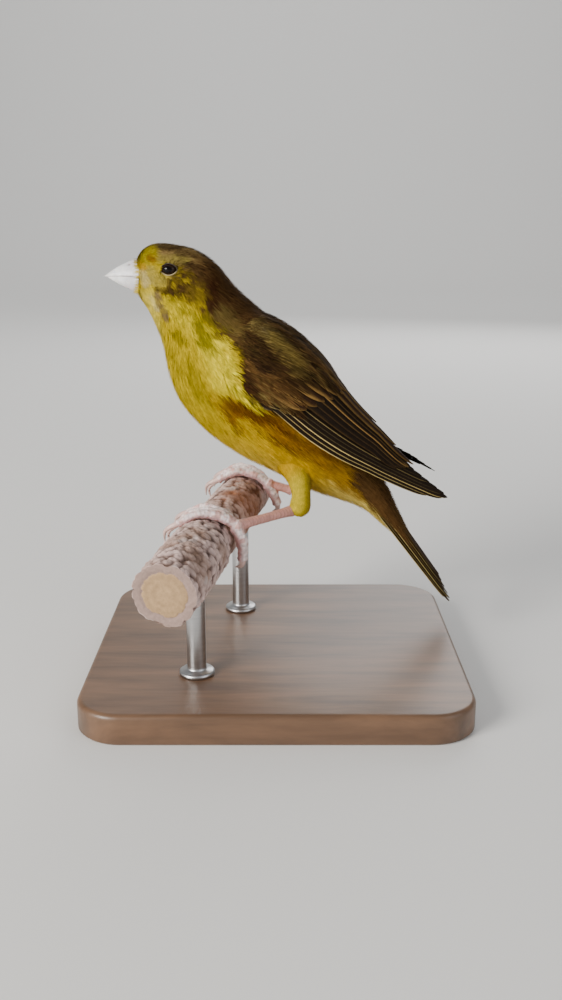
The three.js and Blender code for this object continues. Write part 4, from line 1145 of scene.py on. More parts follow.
class MakeSkin(bpy.types.Operator):
    """Make the skin under the feathers of head, body and thighs"""

    bl_idname = "canary.make_skin"
    bl_label = "Make skin"

    def execute(self, context):
        sizes, tones = context.scene.canary_sizes, colours_of(context)
        material = Shared.material("skin", lambda: painted_material("skin", 700.0, 0.5, 0.0002, 0.8))
        skin = self.body(sizes, tones, material)
        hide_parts("head", "neck", "torso")
        for side, word in SIDES:
            thigh = self.thigh(side, word, tones, material)
            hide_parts(f"thigh_{word}")
        return {"FINISHED"}

    def body(self, sizes, tones, material):
        """Head and body under the coat, drawn together at the rear."""
        u, v = np.meshgrid(np.arange(0, COAT_ROWS, 2), np.arange(COAT_COLUMNS), indexing="ij")
        t, theta = coat_places(u, v)
        points = body_point(t, theta)
        around = np.roll(points, -1, 1) - np.roll(points, 1, 1)
        normal = unit(np.cross(around, np.gradient(points, axis=0)))
        depth = coat_depth(sizes, t) + 0.15 * value_noise(points, 1.5, 2)
        points = points - depth[..., None] * normal
        middle = points.mean(1, keepdims=True)
        points = points + (middle - points) * smooth(t, 14.2, 15.6)[..., None] * 0.97
        edge, core = markings(points, t, theta, tones)
        # painted shade: the skin takes the mean of the feathers' edge and middle colours, a tenth darker, as
        # shade under the coat
        colours = (edge * 0.5 + core * 0.5) * 0.9
        colours = np.concatenate([colours.reshape(-1, 3), colours[0, :1], colours[-1, :1]])
        uvs = np.stack([v / COAT_COLUMNS, u / COAT_ROWS], -1).reshape(-1, 2)
        uvs = np.concatenate([uvs, [[0.5, 0.0]], [[0.5, 0.999]]])
        points, faces = closed_tube(points)
        return new_piece("skin", points, faces, material, colours, uvs)

    def thigh(self, side, word, tones, material):
        surface = thigh_surface(side)
        rows, sides = surface.grid.shape[:2]
        points, faces = closed_tube(surface.grid - 0.5 * surface.normal)
        # painted shade: the thigh's skin is its feathers' colour darkened to six tenths, as shade under them
        colours = np.tile(tones.thigh * 0.6, (len(points), 1))
        u, v = np.meshgrid(np.arange(rows) / rows, np.arange(sides) / sides, indexing="ij")
        uvs = np.concatenate([np.stack([v, u], -1).reshape(-1, 2), [[0.5, 0]], [[0.5, 0.99]]])
        return new_piece(f"thigh_skin_{word}", points, faces, material, colours, uvs)


def coat_depth(sizes, t):
    """How far the skin lies under the tips of the small feathers."""
    return mix(sizes.face_depth / MM, sizes.coat_depth / MM, smooth(t, 1.5, 5.5))


def thigh_surface(side):
    path = smooth_path(np.array(THIGH_PATH) * [1, side, 1], PATH_STEPS)
    radii = ramp(THIGH_RADII, np.linspace(0, 1, PATH_STEPS))
    return Surface(tube(path, radii, 60, side_hint=(1, 0, 0.2)), True)


class MakeCoat(bpy.types.Operator):
    """Lay the small feathers over head, body, shoulders and thighs"""

    bl_idname = "canary.make_coat"
    bl_label = "Lay small feathers"

    # first and last place t along the body, name and number of blades
    ZONES = [
        (0.0, 2.3, "coat_face", 4), (2.3, 4.4, "coat_head", 5), (4.4, 6.6, "coat_neck", 6),
        (6.6, 9.0, "coat_breast", 7), (9.0, 11.8, "coat_belly", 7), (11.8, 14.9, "coat_rump", 7),
    ]
    # along the body: length of the feathers, their width as a share of it, how many lie over one
    # another, and how far their tips are lifted
    LENGTHS = [
        [0, 0.9], [1, 1.3], [2, 1.8], [3, 2.5], [4, 3.6], [5, 4.8], [6, 5.8], [8, 7.0], [10, 8.0],
        [12, 8.6], [13, 8.8], [14, 8.4], [14.9, 6.0],
    ]
    SLIM = [[0, 0.5], [3, 0.46], [5, 0.38], [7, 0.31], [16, 0.29]]
    LAYERS = [[0, 6.0], [4, 6.5], [6, 7.5], [12, 7.5], [16, 6.0]]
    LIFTS = [[0, 0.1], [3, 0.18], [6, 0.24], [9, 0.26], [13, 0.24], [16, 0.2]]
    # the same for the wing's arm, its lengths along the wing, and how deep its feathers are rooted
    ARM_LENGTHS = [[-2, 3.4], [4, 5.0], [10, 6.6], [16, 8.4], [24, 10.0], [36, 10.6]]
    ARM_SLIM = 0.25
    ARM_LAYERS = 5.5
    ARM_LIFT = 0.35
    ARM_DEPTH = 0.6
    # a feather covers this share of its length times its width
    FEATHER_FILL = 0.62
    # the most feathers in a square millimetre, and the most triangles in a piece
    MOST_FEATHERS = 15.0
    MOST_FACES = 195000
    # short upright feathers round the bill's root
    BRISTLE_LENGTH = 1.5
    BRISTLE_LIFT = 0.75
    BRISTLE_SLIM = 0.22
    # the bare place round the eye, drawn out along the head, and the curved edge behind the bill
    EYE_BARE = 1.62
    EYE_STRETCH = 1.33
    BILL_EDGE_MIDDLE = 65.9
    BILL_EDGE_HALF = 4.4

    def execute(self, context):
        Shared.prepare()
        sizes, tones = context.scene.canary_sizes, colours_of(context)
        rng = np.random.default_rng(SEED)
        surface = Shared.coat
        cell_u, cell_v = np.meshgrid(np.arange(COAT_ROWS - 1), np.arange(COAT_COLUMNS), indexing="ij")
        t, _ = coat_places(cell_u + 0.5, cell_v + 0.5)
        length, arm, _, _, _ = self.lengths(surface.grid[:-1], t)
        layers = np.where(arm, self.ARM_LAYERS, ramp(self.LAYERS, t))
        slim = np.where(arm, self.ARM_SLIM, ramp(self.SLIM, t))
        density = layers / (length * length * slim * self.FEATHER_FILL) * sizes.feather_density
        u, v = scatter(surface, np.minimum(density, self.MOST_FEATHERS), rng)
        spec = self.describe(surface, u, v, sizes, tones, rng)
        t = coat_places(u, v)[0]
        arm = spec.pop("arm")
        kept = spec.pop("kept")
        spec["width"] = spec["length"] * ramp(self.SLIM, t) * spec.pop("slim")
        for low, high, name, blades in self.ZONES:
            zone = self.chosen(spec, (t >= low) & (t < high) & kept & ~arm)
            zone.update(blades=blades, ruffle=6)
            self.lay(name, surface, zone, rng)
        zone = self.chosen(spec, kept & arm)
        zone.update(blades=5, rows=3, width=zone["length"] * self.ARM_SLIM, ruffle=5, ragged=0.09)
        zone.update(streak=1.3, root_shade=0.7, tip=0.45, tip_start=0.7, own_tone=0.22, fleck=0.16)
        self.lay("scapulars", surface, zone, rng)
        self.thighs(tones, rng)
        return {"FINISHED"}

    def chosen(self, spec, which):
        return {key: value[which] for key, value in spec.items()}

    def lengths(self, points, t):
        """Mean length of the feathers at places of the coat, and where these are on the wing's arm."""
        a, phi = wing_place(points)
        cover, _ = arm_cover(a, phi)
        cover = np.maximum(cover, smooth(phi, 70, 80) * smooth(a, 4, 12))
        arm = (cover > 0.5) & (t > 5.6) & (a < 48)
        length = np.where(arm, ramp(self.ARM_LENGTHS, a), ramp(self.LENGTHS, t))
        return length, arm, a, phi, cover

    def describe(self, surface, u, v, sizes, tones, rng):
        """A value for each feather: where it grows, where it points, its size and its colours."""
        t, theta = coat_places(u, v)
        points = surface.read(surface.grid, u, v)
        length, arm, a, phi, cover = self.lengths(points, t)
        reach = mix(COVERTS_REACH, SCAPULARS_REACH, smooth(phi, 44, 66))
        edge_low = np.interp(a, [14, 50, 60, 74], [6, 4, 0, -8])
        edge_high = np.interp(a, [20, 44, 60], [84, 80, 50])
        hidden = (phi > edge_low) & (phi < edge_high) & (a > reach) & (a < 72)
        on_side = np.abs(points[:, 1]) > 4
        face = on_side & (t < 5)
        eye_near = np.hypot((points[:, 0] - EYE_AT[0]) / self.EYE_STRETCH, points[:, 2] - EYE_AT[1])
        high = (points[:, 2] - self.BILL_EDGE_MIDDLE) / self.BILL_EDGE_HALF
        bill_rim = BILL_ROOT[0] + 0.25 + 1.6 * np.sqrt(np.clip(1 - high * high, 0, 1))
        behind_bill = points[:, 0] - bill_rim
        rim = 0.5 * value_noise(points, 0.7, 27) - 0.3
        kept = ~(hidden | (face & (eye_near < self.EYE_BARE)) | (behind_bill < rim))

        direction = unit(surface.read(surface.along, u, v))
        direction = direction + (cover * smooth(t, 5, 6))[:, None] * (WING_AXIS - direction) * 0.8
        away = np.stack([points[:, 0] - EYE_AT[0], 0 * t, points[:, 2] - EYE_AT[1]], -1)
        push = np.exp(-(((eye_near - 1.7) / 1.1) ** 2)) * face
        direction = direction + unit(away) * push[:, None] * 1.1
        flank = near_line(points, (2, 30), (30, 16), 5.0) * (np.sin(theta) < 0.8) * smooth(t, 6, 7.5)
        direction = direction + flank[:, None] * (WING_AXIS - direction) * 0.5
        bristle = (behind_bill < 0.8) & (rng.uniform(0, 1, len(t)) < 0.5)
        forward = direction * [-1, -0.6, -0.6] + rng.normal(0, 0.25, (len(t), 3))
        direction = np.where(bristle[:, None], forward, direction)

        length = length * rng.uniform(0.85, 1.2, len(t))
        length = length * (1 - 0.45 * np.exp(-(((eye_near - 1.6) / 1.2) ** 2)) * face)
        length = np.where(bristle, self.BRISTLE_LENGTH, length)
        front_edge = np.exp(-(((a + 0.5) / 4.5) ** 2)) * (t > 5)
        front_edge = front_edge * smooth(phi, -25, -5) * (1 - smooth(phi, 50, 75))
        depth = np.where(arm, self.ARM_DEPTH, coat_depth(sizes, t))
        lift = np.where(arm, self.ARM_LIFT, ramp(self.LIFTS, t))
        lift = np.where(bristle, self.BRISTLE_LIFT, lift) + 0.25 * front_edge
        lift = lift + 0.3 * near_line(points, (2, 31), (22, 20), 3.0) * (np.sin(theta) < 0.6)
        below_wing = smooth(a, -3, 2) * (1 - smooth(a, 14, 20)) * (t > 5)
        below_wing = below_wing * smooth(phi, -30, -14) * (1 - smooth(phi, -4, 4))
        lift, length = lift + 0.15 * below_wing, length * (1 - 0.25 * below_wing)
        along_u, along_v = surface.steps(u, v, unit(direction))
        shown_u = np.clip(u + 0.72 * length * along_u, 0, COAT_ROWS - 1.01)
        shown_v = v + 0.72 * length * along_v
        points = surface.read(surface.grid, shown_u, shown_v)
        coat = Shades(*markings(points, *coat_places(shown_u, shown_v), tones))
        on_arm = smooth(dark_side(points), -0.3, 0.9) * (0.9 - 0.4 * smooth(phi, 66, 84))
        over = self.arm_shades(points, on_side, tones)
        coat.lay(over.edge, over.core, np.where(arm, on_arm, 0))
        return {
            "u": u, "v": v, "direction": direction, "length": length, "depth": depth, "lift": lift,
            "edge": coat.edge, "core": coat.core, "kept": kept, "arm": arm,
            "slim": np.where(bristle, self.BRISTLE_SLIM, 1.0),
        }

    def arm_shades(self, points, on_side, tones):
        """Colours of the feathers on the wing's arm and over the shoulder."""
        a, phi = wing_place(points)
        run = value_noise(np.stack([a / 15, phi / 8, 0 * a], -1), 1.0, 21)
        fine = smooth(value_noise(np.stack([a / 16, phi / 4.4, 0 * a], -1), 1.0, 22), 0.38, 0.62)
        covert = tones.covert_edge
        edge = blend_colours(covert, covert * [0.95, 1.2, 1.2], smooth(run, 0.3, 0.7))
        rear = 1 + 0.2 * smooth(a, 16, 24) * (1 - smooth(phi, 50, 62))
        edge = edge * ((0.3 + 0.2 * run + 0.66 * fine) * rear)[:, None]
        arm = Shades(edge, blend_colours(tones.vane_brown, tones.back * 0.85, fine))
        for colour, start, end, width, amount in ARM_MARKS:
            share = near_line(points, start, end, width) * on_side * amount * (0.55 + 0.7 * fine)
            arm.lay(colour, np.asarray(colour) * 0.45, np.clip(share, 0, 1))
        cream = near_line(points, (6.3, 56.4), (10.8, 53.0), 1.3) * on_side * smooth(fine, 0.45, 0.65)
        arm.lay([0.34, 0.27, 0.12], [0.16, 0.12, 0.06], cream * 0.7)
        return arm

    def lay(self, name, surface, spec, rng):
        """Lay a zone's feathers, in more pieces than one where it has too many faces for one."""
        per_feather = spec["blades"] * (2 * (spec.get("rows", 2) - 1) + 1)
        parts = math.ceil(len(spec["u"]) / (self.MOST_FACES // per_feather))
        for part in range(parts):
            some = dict(spec)
            for key, value in spec.items():
                if isinstance(value, np.ndarray):
                    some[key] = value[part::parts]
            label = name if parts == 1 else f"{name}_{part + 1}"
            piece = feathers(label, surface, some, coat_material(), rng)

    def thighs(self, tones, rng):
        for side, word in SIDES:
            surface = thigh_surface(side)
            u, v = scatter(surface, np.full(surface.cell_areas().shape, 9.0), rng)
            count = len(u)
            share = u / surface.rows
            # painted shade: the thigh feathers are darker on the side that faces back, away from the key
            # light
            rear = smooth(surface.read(surface.normal, u, v)[:, 0], 0.1, 0.9)
            edge = blend_colours(tones.thigh, tones.thigh * [0.62, 0.58, 0.6], rear)
            edge = blend_colours(tones.belly, edge, smooth(share, 0.05, 0.4))
            length = ramp([[0, 3.6], [0.5, 2.4], [0.85, 1.6], [1, 0.9]], share)
            spec = {
                "u": u, "v": v, "direction": unit(surface.read(surface.along, u, v)),
                "length": length * rng.uniform(0.8, 1.2, count),
                "depth": np.full(count, 0.5), "lift": ramp([[0, 0.25], [1, 0.12]], share),
                "edge": edge, "core": edge * 0.85, "blades": 5, "ruffle": 9, "loose": 0.1,
            }
            spec["width"] = spec["length"] * 0.5
            piece = feathers(f"coat_thigh_{word}", surface, spec, coat_material(), rng)


class MakeWings(bpy.types.Operator):
    """Lay the flight feathers and large coverts of both wings in their tiers"""

    bl_idname = "canary.make_wings"
    bl_label = "Lay wing feathers"

    def execute(self, context):
        Shared.prepare()
        sizes, tones = context.scene.canary_sizes, colours_of(context)
        for side, word in SIDES:
            parts = wing_vanes(side, Shared.reach, sizes, tones)
            points, faces, colours = join_meshes(parts)
            uvs = vane_atlas(parts, 7)
            piece = new_piece(f"wing_feathers_{word}", points, [faces], vane_material(), colours, uvs)
            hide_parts(f"wing_{word}")
        return {"FINISHED"}


class MakeTail(bpy.types.Operator):
    """Lay the tail feathers in pairs under one another"""

    bl_idname = "canary.make_tail"
    bl_label = "Lay tail feathers"

    def execute(self, context):
        sizes, tones = context.scene.canary_sizes, colours_of(context)
        parts = tail_vanes(sizes, tones)
        points, faces, colours = join_meshes(parts)
        uvs = vane_atlas(parts, 4)
        piece = new_piece("tail_feathers", points, [faces], vane_material(), colours, uvs)
        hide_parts("tail")
        return {"FINISHED"}


class MakeBill(bpy.types.Operator):
    """Shape the two halves of the bill, with nostrils and the line of the mouth"""

    bl_idname = "canary.make_bill"
    bl_label = "Make bill"

    def execute(self, context):
        tones = colours_of(context)
        horn = Shared.material("horn", lambda: painted_material(
            "horn", 500.0, 0.15, 0.0001, 0.34, Subsurface_Weight=0.15, Specular_IOR_Level=0.45))
        for sense, name in ((1, "bill_upper"), (-1, "bill_lower")):
            points, faces, colours = self.mandible(sense, tones)
            piece = new_piece(f"{name}_horn", points, faces, horn, colours)
            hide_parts(name)
        return {"FINISHED"}

    def swept(self, beside, sense, reach, rows):
        """Shares of the bill's length, from a base that lies further back beside the mouth."""
        back = (0.45 + 1.5 * np.abs(beside) ** (0.9 if sense > 0 else 0.55)) / reach
        return -back + (1 + back) * np.linspace(0, 1, rows)[:, None]

    def mandible(self, sense, tones):
        """The upper half of the bill (sense 1) or the lower one (-1), closed by its palate."""
        height = CULMEN_HEIGHT if sense > 0 else GONYS_HEIGHT
        reach = BILL_LENGTH if sense > 0 else BILL_LENGTH - 0.7
        rows, columns = 52, 40
        angle = np.linspace(0, math.pi, columns)[None]
        swept = self.swept(np.cos(angle), sense, reach, rows)
        inside = np.clip(swept, 0, 1)
        full = (1 - inside) ** 0.86 * (1 + 0.12 * inside)
        tall = np.maximum(height * full, height * 0.035)
        wide = np.maximum(BILL_HALF_WIDTH * (1 - inside) ** 0.8, BILL_HALF_WIDTH * 0.035)
        wide = wide + 1.05 * np.maximum(-swept, 0) * reach
        drop = (0.5 if sense > 0 else 0.35) * inside**2
        middle = -drop + sense * MOUTH_GAP / 2 + reach * swept * BILL_RISE
        ridge = 1 + (0.05 if sense > 0 else 0.02) * np.exp(-(((angle - math.pi / 2) / 0.22) ** 2))
        y = wide * np.cos(angle)
        z = middle + sense * tall * np.sin(angle) * ridge
        x = -reach * swept + BILL_ROOT_LEAN * z
        if sense > 0:
            for side in (-1, 1):
                hole = np.hypot((x + 1.2) / 0.5, (z - 3.1) / 0.32) + 10 * (y * side < 0)
                y = y - side * 0.42 * np.exp(-(hole**2) * 1.2)
        dome = np.stack([x, y, z], -1) + BILL_ROOT
        flat = np.linspace(0.92, -0.92, columns)[None]
        palate_z = middle + sense * 0.25 * tall * (1 - flat**2)
        palate = np.stack([-reach * swept + BILL_ROOT_LEAN * palate_z, wide * flat, palate_z], -1)
        ring = np.concatenate([dome, (palate + BILL_ROOT)[:, ::-1]], 1)
        if sense < 0:
            ring = ring[:, ::-1]
        points, faces = closed_tube(ring)
        along = np.clip((BILL_ROOT[0] - points[:, 0]) / reach, 0, 1)
        horn = tones.bill
        # painted shade: the horn is greyer towards the root and darker underneath near the root
        colours = blend_colours(horn * [0.84, 0.80, 0.82], horn * [1.06, 1.05, 1.04], smooth(along, 0.0, 0.6))
        below = smooth(BILL_ROOT[2] - points[:, 2], 0.6, 3.4) * (1 - smooth(along, 0.3, 0.9))
        colours = blend_colours(colours, horn * [0.66, 0.58, 0.61], below * 0.7)
        colours = blend_colours(colours, horn * [0.72, 0.62, 0.6], smooth(along, 0.93, 1.0) * 0.5)
        # painted shade along the line of the mouth, between the two halves
        mouth = np.abs(points[:, 2] - BILL_ROOT[2] - along * reach * BILL_RISE)
        colours = blend_colours(colours, horn * [0.68, 0.62, 0.62], np.exp(-((mouth / 0.28) ** 2)) * 0.4)
        # painted shade in the hollow of each nostril
        from_root = points - BILL_ROOT
        hole = np.hypot((from_root[:, 0] + 1.0) / 0.45, (from_root[:, 2] - 3.1) / 0.26)
        colours = blend_colours(colours, [0.12, 0.07, 0.06], np.exp(-(hole**2) * 1.6) * (sense > 0))
        return points, faces, np.clip(colours, 0, 1)


class MakeEyes(bpy.types.Operator):
    """Make the dark eyes and the lids round them"""

    bl_idname = "canary.make_eyes"
    bl_label = "Make eyes"

    def execute(self, context):
        glass, nodes, links, shader = base_material("eye_surface", 0.05, IOR=1.26)
        paint = nodes.new("ShaderNodeAttribute")
        paint.attribute_name = "markings"
        links.new(paint.outputs["Color"], shader.inputs["Base Color"])
        lid_skin = Shared.material("lid_skin", lambda: painted_material("lid_skin", 1500.0, 0.4, 0.0001, 0.6))
        skin_at = body_side(*EYE_AT)
        theta, phi = np.linspace(0, math.pi, 49), np.linspace(0, 2 * math.pi, 64, endpoint=False)
        theta, phi = np.meshgrid(theta, phi, indexing="ij")
        long, deep, tall = EYE_RADII
        for side, word in SIDES:
            turn = math.radians(EYE_TURN) * side
            centre = np.array([EYE_AT[0], side * (skin_at - EYE_DEPTH), EYE_AT[1]])
            ball = np.stack([
                long * np.sin(theta) * np.cos(phi), side * deep * np.cos(theta),
                tall * np.sin(theta) * np.sin(phi),
            ], -1)
            if side > 0:
                ball = ball[:, ::-1]
            points = self.turned(ball.reshape(-1, 3), turn) + centre
            ring = np.clip(theta.reshape(-1) / IRIS_ANGLE, 0, 1)
            iris = blend_colours([0.003, 0.002, 0.002], [0.018, 0.009, 0.005], smooth(ring, 0.6, 0.85))
            points, faces = closed_tube(points.reshape(ball.shape))
            iris = np.concatenate([iris, iris[:1], iris[-1:]])
            piece = new_piece(f"eyeball_{word}", points, faces, glass, iris)
            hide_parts(f"eye_{word}")
            self.lids(side, word, skin_at, turn, lid_skin)
        return {"FINISHED"}

    def turned(self, points, turn):
        x, y, z = points.T
        c, s = math.cos(turn), math.sin(turn)
        return np.stack([x * c - y * s, x * s + y * c, z], -1)

    def lids(self, side, word, skin_at, turn, material):
        """A soft ring with a pale lower rim, drawn to a corner in front and behind."""
        steps, sides = 72, 14
        around = np.linspace(0, 2 * math.pi, steps, endpoint=False)
        almond = 1 + 0.08 * np.cos(2 * around)
        centre = np.stack([
            (EYE_RADII[0] + 0.1) * almond * np.cos(around), np.full(steps, side * -0.1),
            (EYE_RADII[2] + 0.02) * np.sin(around) * (1 - 0.08 * np.cos(around) ** 2),
        ], -1)
        angle = np.linspace(0, 2 * math.pi, sides, endpoint=False)
        thick = 0.13 + 0.05 * smooth(-np.sin(around), 0.0, 0.6)
        out = unit(centre * [1, 0, 1])
        beside = np.array([0, side * 1.7, 0])
        round_rim = np.cos(angle)[None, :, None] * out[:, None] + np.sin(angle)[None, :, None] * beside
        ring = centre[:, None] + thick[:, None, None] * round_rim
        points = self.turned(ring.reshape(-1, 3), turn) + [EYE_AT[0], side * (skin_at + 0.1), EYE_AT[1]]
        index = np.arange(steps * sides).reshape(steps, sides)
        nxt = np.roll(index, -1, 0)
        faces = np.stack([index, np.roll(index, -1, 1), np.roll(nxt, -1, 1), nxt], -1)
        faces = faces.reshape(-1, 4) if side > 0 else faces.reshape(-1, 4)[:, ::-1]
        low = smooth(-np.sin(around), 0.15, 0.7)[:, None] * np.ones(sides)
        colours = blend_colours([0.03, 0.018, 0.008], [0.32, 0.25, 0.12], low).reshape(-1, 3)
        piece = new_piece(f"eyelids_{word}", points, [faces], material, colours)


class MakeFeet(bpy.types.Operator):
    """Make the scaled legs, toes and claws round the perch"""

    bl_idname = "canary.make_feet"
    bl_label = "Make feet"

    def execute(self, context):
        tones = colours_of(context)
        scales = Shared.material("leg_scales", lambda: painted_material(
            "leg_scales", 1300.0, 0.35, 0.00012, 0.5, Subsurface_Weight=0.1))
        claw_horn = Shared.material("claw_horn", lambda: painted_material(
            "claw_horn", 900.0, 0.1, 0.0001, 0.35))
        for side, word in SIDES:
            bones, knot, claws = self.bones(side)
            piece = self.skin(f"foot_skin_{word}", bones, knot, scales, tones)
            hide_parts(f"foot_{word}")
            for n, (path, radii) in enumerate(claws):
                grid = tube(path, radii, 14)
                points, faces = closed_tube(grid)
                share = np.append(np.repeat(np.linspace(0, 1, len(path)), 14), [0, 1])
                horn = blend_colours([0.72, 0.50, 0.45], [0.52, 0.36, 0.32], smooth(share, 0.2, 1.0))
                claw = new_piece(f"claw_{word}_{n + 1}", points, faces, claw_horn, horn)
        return {"FINISHED"}

    def bones(self, side):
        """Centre lines and radii of tarsus and toes, of the knot that joins them, and of the claws."""
        rest = PERCH_RADIUS + 0.1 + TOE_RADIUS
        foot = FOOT_PLACES[side]
        knot = perch_point(foot, -59, rest + 0.9)
        heel = HEEL * [1, side, 1]
        shank = smooth_path([heel, mix(heel, knot, 0.33), mix(heel, knot, 0.7), knot], PATH_STEPS)
        share = np.linspace(0, 1, PATH_STEPS)
        bones = [(shank, TARSUS_RADIUS * (1 + 0.3 * (2 * share - 1) ** 4))]
        claws = []

        def front(theta):
            return [[-57, rest + 0.7], [-36, rest + 0.3], [-8, rest], [theta - 32, rest], [theta, rest + 0.1]]

        def nail(theta):
            return [[theta + 10, rest + 1.1], [theta + 22, rest + 1.9], [theta + 37, rest + 1.3]]

        curl = 0 if side < 0 else 13
        back = [
            [-60, rest + 0.6], [-82 + curl * 0.4, rest + 0.9],
            [-98 + curl * 0.7, rest + 1.4], [-113 + curl, rest + 2.1],
        ]
        back_nail = [[-118 + curl, rest + 2.4], [-123 + curl, rest + 2.2], [-128 + curl, rest + 1.3]]
        # spread along the perch, line of the toe, line of its claw, the claw's spread, and joints
        toes = [
            (side * 0.8, front(58), nail(58), 1.05, 4), (side * 4.8, front(46), nail(46), 1.1, 5),
            (-side * 3.8, front(44), nail(44), 1.1, 3), (side * 1.2, back, back_nail, 1.0, 2),
        ]
        for spread, ends, tip, reach, joints in toes:
            line = [perch_point(foot + spread * i / (len(ends) - 1), *end) for i, end in enumerate(ends)]
            swell = 0.06 * np.cos(share * joints * 2 * math.pi) + 0.02
            size = TOE_RADIUS * (1.25 if joints == 2 else 1.0)
            bones.append((smooth_path(line, PATH_STEPS), size * (1 - 0.2 * share) * (1 + swell)))
            start = mix(line[-2], line[-1], 0.75)
            claw = smooth_path([start] + [perch_point(foot + spread * reach, *end) for end in tip], 26)
            root = 0.95 if joints == 2 else 0.8
            claws.append((claw, mix(root, 0.1, np.linspace(0, 1, 26) ** 1.8)))
        across = np.linspace(-1, 1, 15)
        ball = knot + across[:, None] * np.array([KNOT_RADIUS, 0, 0])
        return bones, (ball, KNOT_RADIUS * np.sqrt(np.clip(1 - across**2, 0.02, 1))), claws

    def rough_skin(self, bones):
        """Places, normals and faces of one closed skin round tubes that run into one another."""
        mesh = bpy.data.meshes.new("rough")
        points, faces, offset = [], [], 0
        for path, radii in bones:
            p, f = closed_tube(tube(path, radii, 18))
            points.append(p)
            faces += [row for table in f for row in (table + offset).tolist()]
            offset += len(p)
        mesh.from_pydata(np.concatenate(points), [], faces)
        rough = link(bpy.data.objects.new("rough", mesh))
        remesh = rough.modifiers.new("one_skin", "REMESH")
        remesh.mode, remesh.voxel_size = "VOXEL", FOOT_VOXEL
        soften = rough.modifiers.new("soften", "SMOOTH")
        soften.iterations, soften.factor = 6, 0.5
        made = bpy.data.meshes.new_from_object(rough.evaluated_get(bpy.context.evaluated_depsgraph_get()))
        place = np.empty(len(made.vertices) * 3)
        made.vertices.foreach_get("co", place)
        normals = np.empty(len(made.vertices) * 3, np.float32)
        made.vertices.foreach_get("normal", normals)
        faces = [list(face.vertices) for face in made.polygons]
        bpy.data.objects.remove(rough)
        tables = [np.array([face for face in faces if len(face) == n], int).reshape(-1, n) for n in (4, 3)]
        return place.reshape(-1, 3), normals.reshape(-1, 3), tables

    def skin(self, name, bones, knot, material, tones):
        """Scaled skin over the bones, with plates along the top and pads below."""
        place, normals, faces = self.rough_skin([*bones, knot])
        centre = np.concatenate([path for path, _ in bones])
        run = np.concatenate([
            np.append(0, np.cumsum(np.linalg.norm(np.diff(path, axis=0), axis=1))) for path, _ in bones
        ])
        ahead = np.concatenate([unit(np.gradient(path, axis=0)) for path, _ in bones])
        nearest = np.argmin(((place[:, None] - centre[None]) ** 2).sum(-1), 1)
        along = run[nearest] + ((place - centre[nearest]) * ahead[nearest]).sum(-1)
        outward = unit(centre[nearest] - centre[nearest] @ PERCH_AXIS[:, None] * PERCH_AXIS)
        upper = (unit(place - centre[nearest]) * outward).sum(-1)
        plate = (along / PLATE_LENGTH + 0.8 * value_noise(place, 1.6, 19)) % 1.0
        ridge = smooth(plate, 0.0, 0.25) * (1 - smooth(plate, 0.8, 1.0))
        on_top = smooth(upper, -0.1, 0.35)
        grains = grain_noise(place, 0.55, 4)
        wrinkles = value_noise(place, 0.45, 17) + 0.6 * value_noise(place, 0.9, 18)
        # the tarsus comes first among the bones, so the toes begin where its points end
        on_toe = smooth(nearest, 45, 85)
        height = 0.03 * ridge * on_top + 0.05 * (1 - grains) * (1 - on_top)
        height = height + (0.05 + 0.14 * on_toe) * (wrinkles - 0.8)
        place = place + normals * (height - 0.03)[:, None]
        worked = np.clip(ridge * on_top + (1 - grains) * (1 - on_top), 0, 1)
        colours = blend_colours(tones.leg * [0.9, 0.84, 0.83], tones.leg * 1.05, worked)
        flush = smooth(value_noise(place, 1.1, 9), 0.45, 0.75)
        pale = blend_colours([0.96, 0.80, 0.77], [0.78, 0.46, 0.42], flush)
        # painted shade: the toes' sides and undersides are darker mauve than their lit tops
        pale = blend_colours([0.60, 0.36, 0.36], pale, smooth(upper, -0.4, 0.55))
        pale = pale * (0.78 + 0.22 * worked)[:, None] * (0.62 + 0.5 * wrinkles / 1.2)[:, None]
        colours = blend_colours(colours, pale, on_toe * 0.9)
        colours = colours * (0.88 + 0.24 * value_noise(place, 1.8, 6))[:, None]
        return new_piece(name, place, faces, material, np.clip(colours, 0, 1))


